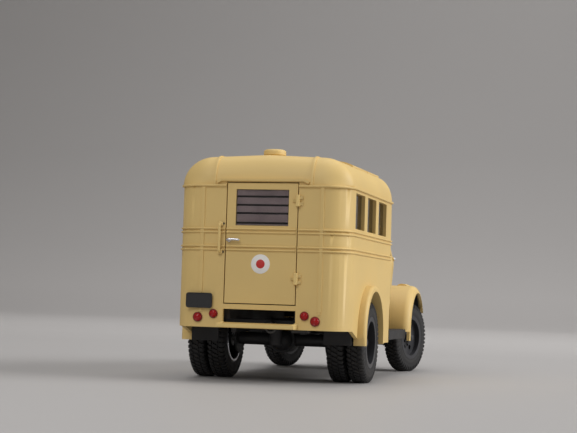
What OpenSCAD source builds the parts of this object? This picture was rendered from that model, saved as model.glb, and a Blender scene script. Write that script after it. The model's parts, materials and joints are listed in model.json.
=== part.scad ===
// Collector's scale model of a box-bodied ambulance truck of the 1950s.
// X runs forwards, Y to the left and Z up; the origin lies on the ground under the middle.
// Sizes are millimetres on the model. Modules place things along X from the rear axle,
// and at_origin() moves every piece so that the whole length is centred on the origin.

/* [Stance] */
// Distance between the front and the rear axle
wheelbase = 76.8; // [70:0.1:86]
// Front axle to the face of the bumper
front_overhang = 19.4; // [18:0.1:24]
// Rear axle to the rear wall of the van body
rear_overhang = 26.3; // [24:0.1:31]
// Angle of the parked front wheels, turned to the right
parked_steer = 16; // [0:1:20]

/* [Wheels] */
// Tyre diameter over the lugs
tyre_d = 21.6; // [20.5:0.1:22.4]
// Tyre width
tyre_w = 4.8; // [4.2:0.1:5]
// Diameter of the rim seat in the tyre
rim_d = 12.8; // [11:0.1:14]
// Distance between the middles of the left and right twin tyres
rear_track = 38.2; // [37:0.1:39]
// Distance between the two tyres of a twin wheel
twin_pitch = 5.4; // [5.3:0.1:5.8]
// Distance between the front tyre middles
front_track = 40.6; // [38.6:0.1:41.4]
// Lugs along each tyre shoulder
lug_count = 24; // [12:1:28]
// Depth of the gaps between the lugs
lug_depth = 0.5; // [0.3:0.1:0.9]

/* [Van body] */
// Width over the flat sides
van_w = 46; // [44.5:0.1:47]
// Length from the rear wall to the front wall
van_len = 59.9; // [56:0.1:60.5]
// Thickness of the body walls
wall = 1; // [0.8:0.1:1.2]
// Radius of the rear corners seen from above
rear_corner_r = 6.5; // [4:0.1:7]
// Radius of the front corners seen from above
front_corner_r = 3; // [2:0.1:5]
// Height of the roof crown
roof_top = 59; // [57:0.1:60]
// Height of the gutter, where the roof sits on the walls
gutter_z = 50.8; // [50:0.1:51]
// Height of the skirt along the sides
skirt_z = 10.2; // [9.5:0.1:11]
// Height of the skirt across the rear
rear_skirt_z = 14; // [13:0.1:14.4]
// How far the wheel arch flares stand out of the sides
flare_out = 2.2; // [1:0.1:2.6]
// Width of the flare seen from the side
flare_w = 1.6; // [1:0.1:2]

/* [Van windows] */
// Width of each side window
window_w = 11.4; // [9:0.1:12.5]
// Distance from one side window to the next
window_pitch = 15.3; // [14.5:0.1:15.6]
// Rear wall to the rear edge of the first side window
window_start = 7.2; // [7:0.1:9]
// Height of the window sills above the ground
window_sill = 40.3; // [39.9:0.1:42]
// Height of the side window openings
window_h = 9.2; // [7:0.1:9.4]

/* [Rear door] */
// Width of the rear door opening
door_w = 19.2; // [17:0.1:19.4]
// Height of the door sill above the ground
door_sill = 20.1; // [19.6:0.1:21]
// Height of the door head above the ground
door_head = 51.5; // [51.2:0.1:52]
// Gap round the closed door
door_gap = 0.25; // [0.15:0.05:0.4]
// Width of the door window
door_window_w = 14; // [11:0.1:15]
// Height of the door window
door_window_h = 9.3; // [7:0.1:9.6]
// Slats of the blind behind the door window
slat_count = 5; // [3:1:7]
// How far the fixed step reaches behind the rear wall
step_reach = 4; // [2:0.1:5]

/* [Cab] */
// Gap between the van body and the cab
cab_gap = 0.8; // [0.4:0.1:1.5]
// Length of the cab
cab_len = 22.8; // [21:0.1:23.5]
// Width of the cab at the belt
cab_w = 39.2; // [36:0.1:40]
// Height of the cab roof
cab_top = 49.4; // [47:0.1:50.5]
// How far the windscreen leans back
screen_lean = 3; // [1:0.1:4]
// Height of the bonnet where it meets the cab
bonnet_top = 36.4; // [35:0.1:37]
// Front axle to the front of the bonnet
nose_reach = 13.8; // [12:0.1:15]

/* [Chassis] */
// Width over the frame rails
frame_w = 20; // [18:0.1:20.4]
// Height of a frame rail
rail_h = 3.6; // [2.8:0.1:4]
// Width of a frame rail
rail_w = 1.4; // [1:0.1:1.8]
// Radius of the rear axle tube
axle_tube_r = 1.7; // [1.3:0.1:1.9]
// Radius of the rear axle rod
axle_rod_r = 0.8; // [0.6:0.05:0.95]
// Distance between the steering pivots
kingpin_track = 31.4; // [30.4:0.1:32]
// Radius of the steering pins
kingpin_r = 0.6; // [0.45:0.05:0.7]
// Running clearance of pins and rods in their bores
fit = 0.05; // [0.03:0.01:0.08]

/* [Plinth screws] */
// Radius of the screw holes for a display plinth
plinth_hole_r = 0.8; // [0.5:0.05:1]
// Depth of the screw holes
plinth_depth = 3; // [2:0.1:3.4]

/* [Hidden] */
$fn = 64;
eps = 0.02;
axle_z = tyre_d / 2;
van_front = van_len - rear_overhang;
cab_back = van_front + cab_gap;
cab_front = cab_back + cab_len;
half_w = van_w / 2;
bumper_x = wheelbase + front_overhang;
// middle of the whole length, which becomes the origin
mid_x = (bumper_x - rear_overhang - step_reach) / 2;

paint = [0.80, 0.67, 0.42];
black = [0.08, 0.08, 0.09];
dark = [0.14, 0.14, 0.15];
rubber = [0.11, 0.11, 0.12];
glass = [0.30, 0.32, 0.33, 0.5];
bright = [0.75, 0.75, 0.76];
red = [0.70, 0.06, 0.07];
slat_grey = [0.45, 0.42, 0.45];
cream = [0.88, 0.76, 0.47];
seat_brown = [0.30, 0.20, 0.13];

// rear wheel arch, a half circle on straight legs
arch_gap = 0.5;
arch_rise = 2.4;
arch_r = tyre_d / 2 + arch_gap;
arch_z = axle_z + arch_rise;
flare_round = 0.9;

// raised lines pressed into the van body
ridge_h = 0.4;
ridge_out = 0.3;
// each line's distance below the window sills
belt_drop = [0.9, 1.8, 5.4, 6.3];
belt_z = [for (d = belt_drop) window_sill - d];
gutter_out = 0.45;
gutter_h = 0.5;
strip_w = 0.7;
strip_y = half_w - rear_corner_r - strip_w;

// roof dome
// reach of the rounding along the van and across it, at the rear and at the front
dome_reach = 5.4;
dome_side = 8.4;
front_dome_reach = 3;
front_dome_side = 5.4;
// how much lower the roof is along its shoulders and at the front
crown_drop = 0.6;
roof_fall = 0.4;
roof_strip_y = half_w - 10.1;
roof_strip_w = 0.6;
roof_strip_out = 0.25;
// low panels along both shoulders of the roof: start and end behind the van's front wall
roof_panels = [[-41.6, -22.6], [-21.6, -5.6]];
roof_panel_y = [half_w - 10, half_w - 3.6];
roof_panel_out = 0.5;
vent_x = -15.5;
vent_r = 2.95;
vent_h = 2.1;
vent_top = roof_top + vent_h;
vent_round = 0.6;
vent_cap_h = 1.3;
vent_neck_r = 2.3;

// slot under the rear door
slot_w = door_w;
slot_z = [rear_skirt_z + 1.4, door_sill - 1.3];

// floor of the van on the frame
floor_h = 1;
floor_gap = 0.15;
floor_top = door_sill - 0.2;
floor_low = floor_top - floor_h;
rail_z = axle_z + axle_tube_r + 0.2;
rail_top = rail_z + rail_h;
tub_gap = 0.4;
tub_wall = 0.7;
// radius of the brake plates at the ends of the rear axle
drum_r = 4.2;
// front end of the differential's nose
axle_nose = 5.4;
tub_in = rear_track / 2 - twin_pitch / 2 - tyre_w / 2 - 0.8;

// bosses for the plinth screws: places along the frame and height of their feet
plinth_x = [-8.6, (cab_front + wheelbase) / 2 - 3];
plinth_z = 9.4;
plinth_boss_r = 1.6;

// rear door and its hinge
door_y = door_w / 2;
hinge_r = 0.5;
hinge_pin_r = 0.22;
hinge_x = -rear_overhang - hinge_r;
hinge_y = -door_y + 0.1;
hinge_z = [door_sill + 6.8, door_head - 4.7];
knuckle_h = 0.8;
knuckle_gap = 0.06;
door_top_rail = 1.9;
door_window_sill = door_head - door_top_rail - door_window_h;
// drip rail over the door: how far it reaches past the opening, its height and its sloping ends
drip_reach = 1.4;
drip_h = 0.6;
drip_end = 1.5;
drip_slope = 24;
// handle on the door and grab handle beside it
handle_z = window_sill - 3.8;
handle_y = [door_y - 0.6, door_y - 4];
grab_y = door_y + 1.3;
grab_z = [window_sill - 6.9, window_sill + 0.3];
grab_off = 1.1;
grab_r = 0.4;
pane = 0.3;
pane_gap = 0.1;
// edge of the side panes that lies against the inside of the wall
pane_lap = 0.5;

// lamps on the rear wall: side, height, radius
lamp_places = [[half_w - 6.7, rear_skirt_z + 2.5, 1.25], [half_w - 10.9, rear_skirt_z + 3.5, 1.15],
    [11 - half_w, rear_skirt_z + 3.6, 1.15], [8.2 - half_w, rear_skirt_z + 2.3, 1.25]];
// the strips on the rear wall start above the outer lamps
strip_low = lamp_places[0][1] + lamp_places[0][2] + 0.15;
lamp_out = 0.9;
plate_size = [0.4, 7, 3.9];
plate_mid = [half_w - 7.1, rear_skirt_z + 6.8];
plate_off = 0.5;
step_h = 0.9;
step_z = rear_skirt_z + 0.2;
step_half = door_y + 0.6;
flap_x = -14;
flap_t = 0.4;
flap_y = [tub_in + 1.1, half_w - wall - 0.3];
flap_z = [skirt_z, rear_skirt_z + 1.6];

// cab and bonnet
cab_sill = rail_top + 0.1;
cab_belt = cab_top - 16.4;
cab_low_w = cab_w - 2.6;
cab_roof_w = cab_w - 4.2;
cab_corner_r = 2.5;
cab_roof_r = 4.5;
groove = 0.3;
bonnet_base = 25.1;
nose_x = wheelbase + nose_reach;
bay_half = 12.4;

// front fender swept round the steered wheel
fender_gap = 3.6;
fender_r = tyre_d / 2 + fender_gap;
fender_z = axle_z + 2;
fender_lip = 2.2;
fender_in = bay_half + 0.2;
fender_out = front_track / 2 + tyre_w / 2 + 1.1;
fender_round = 2.4;
fender_wall = 0.9;
fender_front = 28;
fender_foot = 2.8;
pod_reach = 12.4;
pod_len = 6.4;
pod_y = 17.4;
pod_r = 2.7;
pod_rim = 0.4;
lens_inset = 0.6;

// bumper: depth, half width and heights
bumper_t = 1.2;
bumper_half = 22.4;
bumper_z = [10.8, 14];

// benches: inner edge, heights of seat and backrest, space behind the rear door
bench_in = 11.4;
bench_h = 7.7;
bench_back_h = 8.4;
bench_back_t = 1.2;
bench_room = 4;

// leaf springs: width, gap to the rail, lengths, and rise of their ends
spring_w = 1.4;
spring_gap = 0.9;
leaf_t = 0.42;
rear_span = 28;
rear_rise = 2.4;
front_span = 26;
front_rise = 0.9;
hanger_w = 1.2;

// tow eye on the last cross-member
eye_r = 1.3;
eye_wire = 0.35;
eye_y = -1.4;
eye_back = 2.6;

// steering
kingpin_y = kingpin_track / 2;
wheel_out = front_track / 2 - kingpin_y;
// shares of a lug's pitch for its tip and for the gap's floor
lug_share = 0.56;
lug_gap = 0.28;
// how far the lugs end inside the tyre's sides
lug_shoulder = 0.35;
tyre_facets = 24;
// recess in the tyre's sides for the rim's flanges: depth, and reach past the rim seat
bead_depth = 0.45;
bead_lip = 1;
seat_gap = 0.02;
boss_r = 1.4;
boss_h = 2.2;
fork_h = 0.7;
fork_gap = 0.1;
stub_r = 0.8;
arm_back = 5.5;
arm_pin_r = 0.35;
arm_h = 0.7;
arm_r = 0.9;
rod_h = 0.6;
hub_r = 1.7;

module at_origin() translate([-mid_x, 0, 0]) children();
module box(x, y, z) translate([x[0], y[0], z[0]]) cube([x[1] - x[0], y[1] - y[0], z[1] - z[0]]);
// cylinder along Y between two values
module bar_y(x, y, z, r) translate([x, y[0], z]) rotate([-90, 0, 0]) cylinder(r = r, h = y[1] - y[0]);
// cylinder along X between two values
module bar_x(x, y, z, r) translate([x[0], y, z]) rotate([0, 90, 0]) cylinder(r = r, h = x[1] - x[0]);
module bar_z(x, y, z, r) translate([x, y, z[0]]) cylinder(r = r, h = z[1] - z[0]);
// flat shape in X and Z, carried along Y
module side_prism(y) translate([0, y[1], 0]) rotate([90, 0, 0]) linear_extrude(y[1] - y[0]) children();
// flat shape in Y and Z, carried along X
module end_prism(x) translate([x[0], 0, 0]) rotate([90, 0, 90]) linear_extrude(x[1] - x[0]) children();
// round rod from one point to another
module rod(a, b, r) {
    d = b - a;
    translate(a)
        rotate([0, acos(d[2] / norm(d)), atan2(d[1], d[0])])
            cylinder(r = r, h = norm(d));
}
module both_sides() {
    children();
    mirror([0, 1, 0]) children();
}

// Outline of the van body from above
module plan(grow = 0) {
    x0 = -rear_overhang - grow;
    x1 = van_front + grow;
    y1 = half_w + grow;
    rr = rear_corner_r + grow;
    rf = front_corner_r + grow;
    polygon([[x0 + rr, -y1], [x1 - rf, -y1], [x1, -y1 + rf], [x1, y1 - rf],
        [x1 - rf, y1], [x0 + rr, y1], [x0, y1 - rr], [x0, -y1 + rr]]);
    for (s = [-1, 1]) {
        translate([x0 + rr, s * (y1 - rr)]) circle(rr);
        translate([x1 - rf, s * (y1 - rf)]) circle(rf);
    }
}

module band(z0, h, out) translate([0, 0, z0]) linear_extrude(h) plan(out);

// Opening over the twin wheels, half circle with straight legs down to the ground
module arch_flat(r) {
    translate([0, arch_z]) circle(r);
    translate([-r, 0]) square([2 * r, arch_z]);
}

// Rounded rib round the left rear wheel arch, before the arch is cut
module flare_block() {
    r = arch_r + flare_w;
    y0 = half_w - wall + 0.1;
    y1 = half_w + flare_out;
    side_prism([y0, y1 - flare_round]) arch_flat(r);
    side_prism([y0, y1]) arch_flat(r - flare_round);
    translate([0, y1 - flare_round, arch_z])
        rotate([-90, 0, 0])
            rotate_extrude() translate([r - flare_round, 0]) circle(flare_round);
    for (s = [-1, 1])
        bar_z(s * (r - flare_round), y1 - flare_round, [0, arch_z], flare_round);
}

// Rear underside of the body: flat across the rear and falling towards the wheel arches
module skirt_cut() {
    far = rear_overhang + 3;
    foot = arch_r + flare_w - 0.1;
    side_prism([-half_w - 5, half_w + 5])
        polygon([[-far, 0], [-foot, 0], [-foot, skirt_z + 1.8],
            [-foot - 7, rear_skirt_z], [-far, rear_skirt_z]]);
    box([-far, van_front + 3], [-half_w - 5, half_w + 5], [-1, skirt_z]);
}

function window_x(i) = -rear_overhang + window_start + i * window_pitch;

module door_opening() {
    box([-rear_overhang - 2, -rear_overhang + wall + 0.5], [-door_y, door_y], [door_sill, door_head]);
}

// Drip rail over the rear door, as far as it lies between two heights
module door_rail(low, high) {
    x = [-rear_overhang - 0.6, -rear_overhang + 1.5];
    half = door_y + drip_reach;
    top = door_head + 0.2 + drip_h;
    intersection() {
        union() {
            box(x, [-half, half], [top - drip_h, top]);
            both_sides() translate([0, half - 0.05, top]) rotate([-drip_slope, 0, 0])
                box(x, [0, drip_end], [-drip_h, 0]);
        }
        box(x + [-1, 1], [-half_w, half_w], [low, high]);
    }
}

// Hinge leaf with two knuckles and its pin, fixed to the wall beside the door
module wall_hinge(z) {
    top = z + 1.5 * knuckle_h;
    low = z - 1.5 * knuckle_h;
    bar_z(hinge_x, hinge_y, [low, low + knuckle_h], hinge_r);
    bar_z(hinge_x, hinge_y, [top - knuckle_h, top], hinge_r);
    bar_z(hinge_x, hinge_y, [low, top], hinge_pin_r);
    for (z0 = [low, top - knuckle_h])
        box([-rear_overhang - 0.35, -rear_overhang + 0.1], [hinge_y - 1.3, hinge_y - 0.25],
            [z0, z0 + knuckle_h]);
}

module van_walls() {
    color(paint) {
        difference() {
            union() {
                band(skirt_z - 1, gutter_z - skirt_z + 1, 0);
                for (z = belt_z) band(z - ridge_h / 2, ridge_h, ridge_out);
                band(gutter_z - gutter_h, gutter_h, gutter_out);
                both_sides() flare_block();
                for (s = [-1, 1])
                    box([-rear_overhang - 0.2, -rear_overhang + 0.5],
                        [s * strip_y - strip_w / 2, s * strip_y + strip_w / 2],
                        [strip_low, gutter_z - 0.2]);
                door_rail(skirt_z, gutter_z);
            }
            translate([0, 0, -1]) linear_extrude(gutter_z + 2) plan(-wall);
            side_prism([-half_w - 5, half_w + 5]) arch_flat(arch_r);
            skirt_cut();
            for (i = [0:2])
                box([window_x(i), window_x(i) + window_w], [-half_w - 1, half_w + 1],
                    [window_sill, window_sill + window_h]);
            door_opening();
            box([-rear_overhang - 2, -rear_overhang + wall + 0.5], [-slot_w / 2, slot_w / 2], slot_z);
            box([van_front - wall - eps, van_front + 1],
                [front_corner_r - half_w, half_w - front_corner_r], [0, rail_top + 0.2]);
        }
        for (z = hinge_z) wall_hinge(z);
    }
}

// Dome of the roof, made of rounded corners and a slightly higher middle
module dome(grow = 0) {
    rear = -rear_overhang + dome_reach;
    front = van_front - front_dome_reach;
    b = roof_top - gutter_z + grow;
    hull() {
        translate([0, 0, gutter_z]) linear_extrude(0.01) plan(grow);
        for (y = [-1, 0, 1], end = [
            [rear, dome_reach, dome_side, 0],
            [front, front_dome_reach, front_dome_side, roof_fall]])
            translate([end[0], y * (half_w - end[2]), gutter_z])
                scale([end[1] + grow, end[2] + grow, b - end[3] - (y == 0 ? 0 : crown_drop)])
                    sphere(1, $fn = 48);
    }
}

// Everything above the gutter line
module above_gutter(low = 0) translate([-rear_overhang - 2, -van_w, gutter_z - low])
    cube([van_len + 4, 2 * van_w, roof_top]);

module van_roof() {
    color(paint)
        difference() {
            union() {
                intersection() {
                    union() {
                        dome();
                        intersection() {
                            dome(roof_strip_out);
                            for (s = [-1, 1])
                                box([-rear_overhang - 1, van_front - 8],
                                    [s * roof_strip_y - roof_strip_w / 2, s * roof_strip_y + roof_strip_w / 2],
                                    [gutter_z, roof_top + 1]);
                        }
                        intersection() {
                            dome(roof_panel_out);
                            both_sides() for (p = roof_panels)
                                box([van_front + p[0], van_front + p[1]], roof_panel_y,
                                    [gutter_z + 2, roof_top + 1]);
                        }
                    }
                    above_gutter();
                }
                door_rail(gutter_z, roof_top);
            }
            intersection() {
                dome(-wall);
                above_gutter(1);
            }
            translate([0, 0, gutter_z - 0.5]) linear_extrude(0.6) plan(-wall);
            door_opening();
        }
}

module roof_vent() {
    color(paint) {
        bar_z(vent_x, 0, [roof_top, vent_top - vent_cap_h + 0.2], vent_neck_r);
        translate([vent_x, 0, vent_top - vent_cap_h])
            rotate_extrude() {
                square([vent_r - vent_round, vent_cap_h]);
                translate([0, vent_round]) square([vent_r, vent_cap_h - 2 * vent_round]);
                for (z = [vent_round, vent_cap_h - vent_round])
                    translate([vent_r - vent_round, z]) circle(vent_round);
            }
    }
}

// Housing over one twin wheel, standing up through the floor
module tub_block(grow) {
    y0 = tub_in - grow;
    y1 = half_w - wall - floor_gap;
    side_prism([y0, y1]) arch_flat(arch_r + tub_gap + grow);
}

module van_floor() {
    x0 = -rear_overhang + wall + floor_gap;
    x1 = van_front - wall - floor_gap;
    y1 = half_w - wall - floor_gap;
    rail_y = frame_w / 2;
    color(dark)
        difference() {
            union() {
                translate([0, 0, floor_low]) linear_extrude(floor_h) plan(-wall - floor_gap);
                both_sides() intersection() {
                    tub_block(tub_wall);
                    box([x0, x1], [0, y1], [axle_z + drum_r + 0.6, 60]);
                }
                both_sides() box([x0 + 1.5, x1], [rail_y - rail_w, rail_y], [rail_top, floor_low + eps]);
            }
            both_sides() tub_block(0);
        }
}

module van_benches() {
    x = [-rear_overhang + wall + bench_room, van_front - wall - 1];
    y1 = half_w - wall - tub_gap;
    top = floor_top + bench_h;
    tub = arch_r + tub_gap + tub_wall + 0.1;
    color(seat_brown)
        both_sides() difference() {
            union() {
                box(x, [bench_in, y1], [floor_top, top]);
                box(x, [y1 - bench_back_t, y1], [top - eps, top + bench_back_h]);
            }
            side_prism([tub_in - tub_wall - 0.1, half_w]) arch_flat(tub);
        }
}

module van_glazing() {
    color(glass)
        both_sides() for (i = [0:2])
            box([window_x(i) - pane_lap, window_x(i) + window_w + pane_lap],
                [half_w - wall - pane, half_w - wall],
                [window_sill - pane_lap, window_sill + window_h + pane_lap]);
}

module rear_door() {
    y1 = door_y - door_gap;
    z0 = door_sill + door_gap;
    z1 = door_head - door_gap;
    face = -rear_overhang;
    color(paint)
        difference() {
            union() {
                box([face, face + wall], [-y1, y1], [z0, z1]);
                for (z = belt_z)
                    box([face - ridge_out, face + 0.2], [-y1 + 1.2, y1],
                        [z - ridge_h / 2, z + ridge_h / 2]);
                for (z = hinge_z) {
                    k = knuckle_h / 2 - knuckle_gap;
                    bar_z(hinge_x, hinge_y, [z - k, z + k], hinge_r);
                    box([face - 0.35, face + 0.2], [hinge_y + 0.25, hinge_y + 1.4], [z - k, z + k]);
                }
            }
            for (z = hinge_z) bar_z(hinge_x, hinge_y, [z - 1, z + 1], hinge_pin_r + fit);
            box([face - 1, face + wall + 1], [-door_window_w / 2, door_window_w / 2],
                [door_window_sill, door_window_sill + door_window_h]);
        }
}

module rear_door_glass() {
    color(glass)
        box([-rear_overhang + 0.2, -rear_overhang + 0.2 + pane],
            [-door_window_w / 2 + pane_gap, door_window_w / 2 - pane_gap],
            [door_window_sill + pane_gap, door_window_sill + door_window_h - pane_gap]);
}

module rear_blind() {
    y1 = door_window_w / 2 - pane_gap;
    pitch = (door_window_h - 2 * pane_gap) / slat_count;
    x0 = -rear_overhang + 0.2 + pane + 0.1;
    color(slat_grey)
        difference() {
            for (i = [0:slat_count - 1])
                box([x0, x0 + 0.3], [-y1, y1],
                    [door_window_sill + pane_gap + i * pitch + (i > 0 ? 0.3 : 0),
                        door_window_sill + pane_gap + (i + 1) * pitch]);
        }
}

module rear_door_handle() {
    face = -rear_overhang;
    color(bright) {
        bar_x([face - 1.1, face], handle_y[0] - 0.4, handle_z, 0.5);
        rod([face - 0.9, handle_y[0], handle_z], [face - 0.9, handle_y[1], handle_z], 0.36);
    }
}

module grab_handle() {
    face = -rear_overhang;
    color(cream) {
        bar_z(face - grab_off, grab_y, grab_z, grab_r);
        for (h = grab_z) {
            bar_x([face - grab_off, face - ridge_out], grab_y, h, grab_r);
            translate([face - grab_off, grab_y, h]) sphere(grab_r);
        }
    }
}

module rear_step() {
    face = -rear_overhang;
    color(cream) {
        box([face - step_reach, face - 0.1], [-step_half, step_half], [step_z, step_z + step_h]);
        for (s = [-1, 1])
            box([face - step_reach + 0.4, face], [s * (step_half - 0.5) - 0.5, s * (step_half - 0.5) + 0.5],
                [step_z - 0.1, step_z + step_h + 0.15]);
    }
}

module tail_lamps() {
    color(red)
        for (p = lamp_places) {
            bar_x([-rear_overhang - lamp_out * 0.6, -rear_overhang], p[0], p[1], p[2]);
            bar_x([-rear_overhang - lamp_out, -rear_overhang], p[0], p[1], p[2] * 0.75);
        }
}

module number_plate() {
    face = -rear_overhang;
    y = plate_mid[0];
    z = plate_mid[1];
    color(black) {
        box([face - plate_off - plate_size[0], face - plate_off],
            [y - plate_size[1] / 2, y + plate_size[1] / 2], [z - plate_size[2] / 2, z + plate_size[2] / 2]);
        box([face - plate_off - eps, face - 0.2], [y - 2.6, y + 0.2], [z - 1, z + 1]);
    }
}

module mudflaps() {
    color(black)
        both_sides() box([flap_x - flap_t, flap_x], flap_y, flap_z);
}

// Ring on a short shank, behind the last cross-member
module tow_eye() {
    x = rail_x[0] + 0.2;
    top = rail_top - 0.7;
    color(bright) {
        bar_x([x - eye_back, x], eye_y, top, eye_wire + 0.1);
        translate([x - eye_back, eye_y, top - eye_r]) rotate([0, 90, 0])
            rotate_extrude() translate([eye_r, 0]) circle(eye_wire, $fn = 24);
    }
}

// Rounded form of the cab; grow is negative for the inside
module cab_form(grow = 0, drop = 0) {
    r = cab_corner_r + grow;
    rr = cab_roof_r + grow;
    hull()
        for (s = [-1, 1]) {
            for (x = [cab_back + cab_corner_r, cab_front - cab_corner_r]) {
                translate([x, s * (cab_low_w / 2 - cab_corner_r), cab_sill - drop])
                    cylinder(r = r, h = 1, $fn = 32);
                translate([x, s * (cab_w / 2 - cab_corner_r), cab_belt]) cylinder(r = r, h = 1, $fn = 32);
            }
            for (x = [cab_back + cab_roof_r, cab_front - screen_lean - cab_roof_r])
                translate([x, s * (cab_roof_w / 2 - cab_roof_r), cab_top - cab_roof_r])
                    sphere(rr, $fn = 32);
        }
}

cab_window_x = [cab_back + 6.8, cab_front - 4.6];
cab_window_z = [cab_belt + 2.4, cab_top - 5.4];
screen_y = [0.7, cab_roof_w / 2 - 2.9];
screen_z = [cab_belt + 3.6, cab_top - 5];
// window in the rear wall of the cab: half width, sill and top
back_window = [7, cab_belt + 3.8, cab_top - 6.4];

module cab_door_line() {
    x0 = cab_back + 5.2;
    x1 = cab_front - 3.4;
    z0 = cab_sill + 1;
    z1 = cab_top - 4;
    difference() {
        side_prism([-30, 30]) difference() {
            translate([x0, z0]) square([x1 - x0, z1 - z0]);
            translate([x0 + groove, z0 + groove]) square([x1 - x0 - 2 * groove, z1 - z0 - 2 * groove]);
        }
        cab_form(-groove);
    }
}

module cab_shell() {
    color(paint)
        difference() {
            cab_form();
            cab_form(-wall, 2);
            side_prism([-30, 30])
                translate([cab_window_x[0], cab_window_z[0]])
                    square([cab_window_x[1] - cab_window_x[0], cab_window_z[1] - cab_window_z[0]]);
            both_sides() box([cab_front - 9, cab_front + 3], screen_y, screen_z);
            box([cab_back - 2, cab_back + 4], [-back_window[0], back_window[0]],
                [back_window[1], back_window[2]]);
            cab_door_line();
        }
}

module cab_glazing() {
    tilt = atan2(screen_lean, cab_top - cab_roof_r - cab_belt - 1);
    color(glass) {
        both_sides() {
            box([cab_window_x[0] + pane_gap, cab_window_x[1] - pane_gap],
                [cab_roof_w / 2 + 0.1, cab_roof_w / 2 + 0.1 + pane],
                [cab_window_z[0] + pane_gap, cab_window_z[1] - pane_gap]);
            translate([cab_front - 1.1, 0, screen_z[0] + pane_gap]) rotate([0, -tilt, 0])
                box([0, pane], [screen_y[0] + pane_gap, screen_y[1] - pane_gap],
                    [0, screen_z[1] - screen_z[0] - 3 * pane_gap]);
        }
        box([cab_back + 0.5, cab_back + 0.5 + pane], [-back_window[0] + pane_gap, back_window[0] - pane_gap],
            [back_window[1] + pane_gap, back_window[2] - pane_gap]);
    }
}

// Seat in the cab: depth of the cushion, thickness of the backrest, heights over the floor plate
seat_len = 8.4;
seat_back_t = 2.2;
cab_floor_h = 0.8;
seat_h = 9.3;
seat_back_h = 18.3;

module cab_seat() {
    y1 = cab_low_w / 2 - wall - 0.8;
    x0 = cab_back + wall + 0.6;
    low = rail_top + cab_floor_h - eps;
    color(seat_brown) {
        box([x0, cab_front - wall - 0.6], [-y1, y1], [rail_top, rail_top + cab_floor_h]);
        box([x0 + 1.6, x0 + 1.6 + seat_len], [-y1 + 0.5, y1 - 0.5], [low, rail_top + seat_h]);
        box([x0, x0 + seat_back_t], [-y1 + 0.5, y1 - 0.5], [low, rail_top + seat_back_h]);
    }
}

dash_x = cab_front - wall - 0.4;
dash_t = 2.6;
dash_z = [cab_belt - 3.4, cab_belt + 1.6];
bulkhead_t = 0.6;

module dashboard() {
    y1 = cab_low_w / 2 - wall - 0.5;
    color(dark) {
        box([dash_x - dash_t, dash_x], [-y1, y1], dash_z);
        box([dash_x - bulkhead_t, dash_x], [-y1, y1], [rail_top + cab_floor_h + 0.1, dash_z[0] + eps]);
    }
}

steer_wheel_y = 8.4;
steer_wheel_r = 3.6;

module steering_wheel() {
    c = [cab_front - 8.2, steer_wheel_y, cab_belt - 1.6];
    knee = [cab_front - wall - 3.2, steer_wheel_y, dash_z[0] - 4.6];
    foot = [dash_x - bulkhead_t - 0.5, steer_wheel_y, dash_z[0] - 7.6];
    lean = atan2(knee[0] - c[0], c[2] - knee[2]);
    color(black) {
        translate(c) rotate([0, -lean, 0]) {
            rotate_extrude() translate([steer_wheel_r, 0]) circle(0.35, $fn = 24);
            translate([0, 0, -0.3]) cylinder(r = 0.8, h = 0.6);
            for (a = [0:120:240])
                rotate([0, 0, a]) translate([0, -0.25, -0.2]) cube([steer_wheel_r, 0.5, 0.4]);
        }
        rod(c, knee, 0.4);
        rod(knee, foot, 0.4);
    }
}

// Bonnet with a domed top, wide at the cab and narrow at the nose
module bonnet() {
    x0 = cab_front + 0.2;
    x1 = nose_x;
    color(paint)
        intersection() {
            hull() for (s = [-1, 1]) {
                bar_x([x0, x0 + 0.1], s * 7.4, bonnet_top - 5, 5, $fn = 48);
                bar_x([x0, x0 + 0.1], s * 11, bonnet_base, 1.4, $fn = 32);
                bar_x([x1 - 0.1, x1], s * 3.2, bonnet_top - 7.6, 4.4, $fn = 48);
                bar_x([x1 - 0.1, x1], s * 6.8, bonnet_base, 1.2, $fn = 32);
            }
            box([x0 - 1, x1 + 1], [-30, 30], [bonnet_base, 60]);
        }
}

module engine_bay() {
    rail_in = frame_w / 2 - rail_w - 0.2;
    top = bonnet_base - 0.1;
    x0 = cab_front + 0.2;
    color(dark)
        difference() {
            union() {
                box([x0 + 1, nose_x - 0.4], [-rail_in, rail_in], [rail_z + 0.6, top - 2.4 + eps]);
                box([x0, wheelbase + 4], [-bay_half, bay_half], [top - 2.4, top]);
                box([wheelbase + 4 - eps, nose_x], [-8.4, 8.4], [top - 2.4, top]);
                bar_z(plinth_x[1], 0, [plinth_z, rail_z + 1], plinth_boss_r);
            }
            bar_z(plinth_x[1], 0, [plinth_z - 1, plinth_z + plinth_depth], plinth_hole_r);
        }
}

// Grille: half width, heights, bars and the round shoulders over it
grille_half = 8;
grille_z = [rail_top + 0.5, bonnet_top - 7.6];
grille_t = 1.6;
grille_frame = 1.2;
grille_slots = 7;
grille_shoulder = 4.4;

module grille() {
    x0 = nose_x + 0.1;
    pitch = (grille_z[1] + grille_shoulder - grille_z[0] - grille_frame) / grille_slots;
    inner = grille_half - grille_frame;
    color(paint)
        difference() {
            end_prism([x0, x0 + grille_t]) {
                translate([-grille_half, grille_z[0]]) square([2 * grille_half, grille_z[1] - grille_z[0]]);
                translate([grille_shoulder - grille_half, grille_z[1] - 1])
                    square([2 * (grille_half - grille_shoulder), grille_shoulder + 1]);
                for (s = [-1, 1])
                    translate([s * (grille_half - grille_shoulder), grille_z[1]]) circle(grille_shoulder);
            }
            for (i = [0:grille_slots - 1]) {
                half = i == grille_slots - 1 ? inner - 1.4 : inner;
                low = grille_z[0] + grille_frame + i * pitch;
                box([x0 + grille_t - 0.9, x0 + grille_t + 1], [-half, half], [low, low + 0.55 * pitch]);
            }
        }
}

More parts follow.
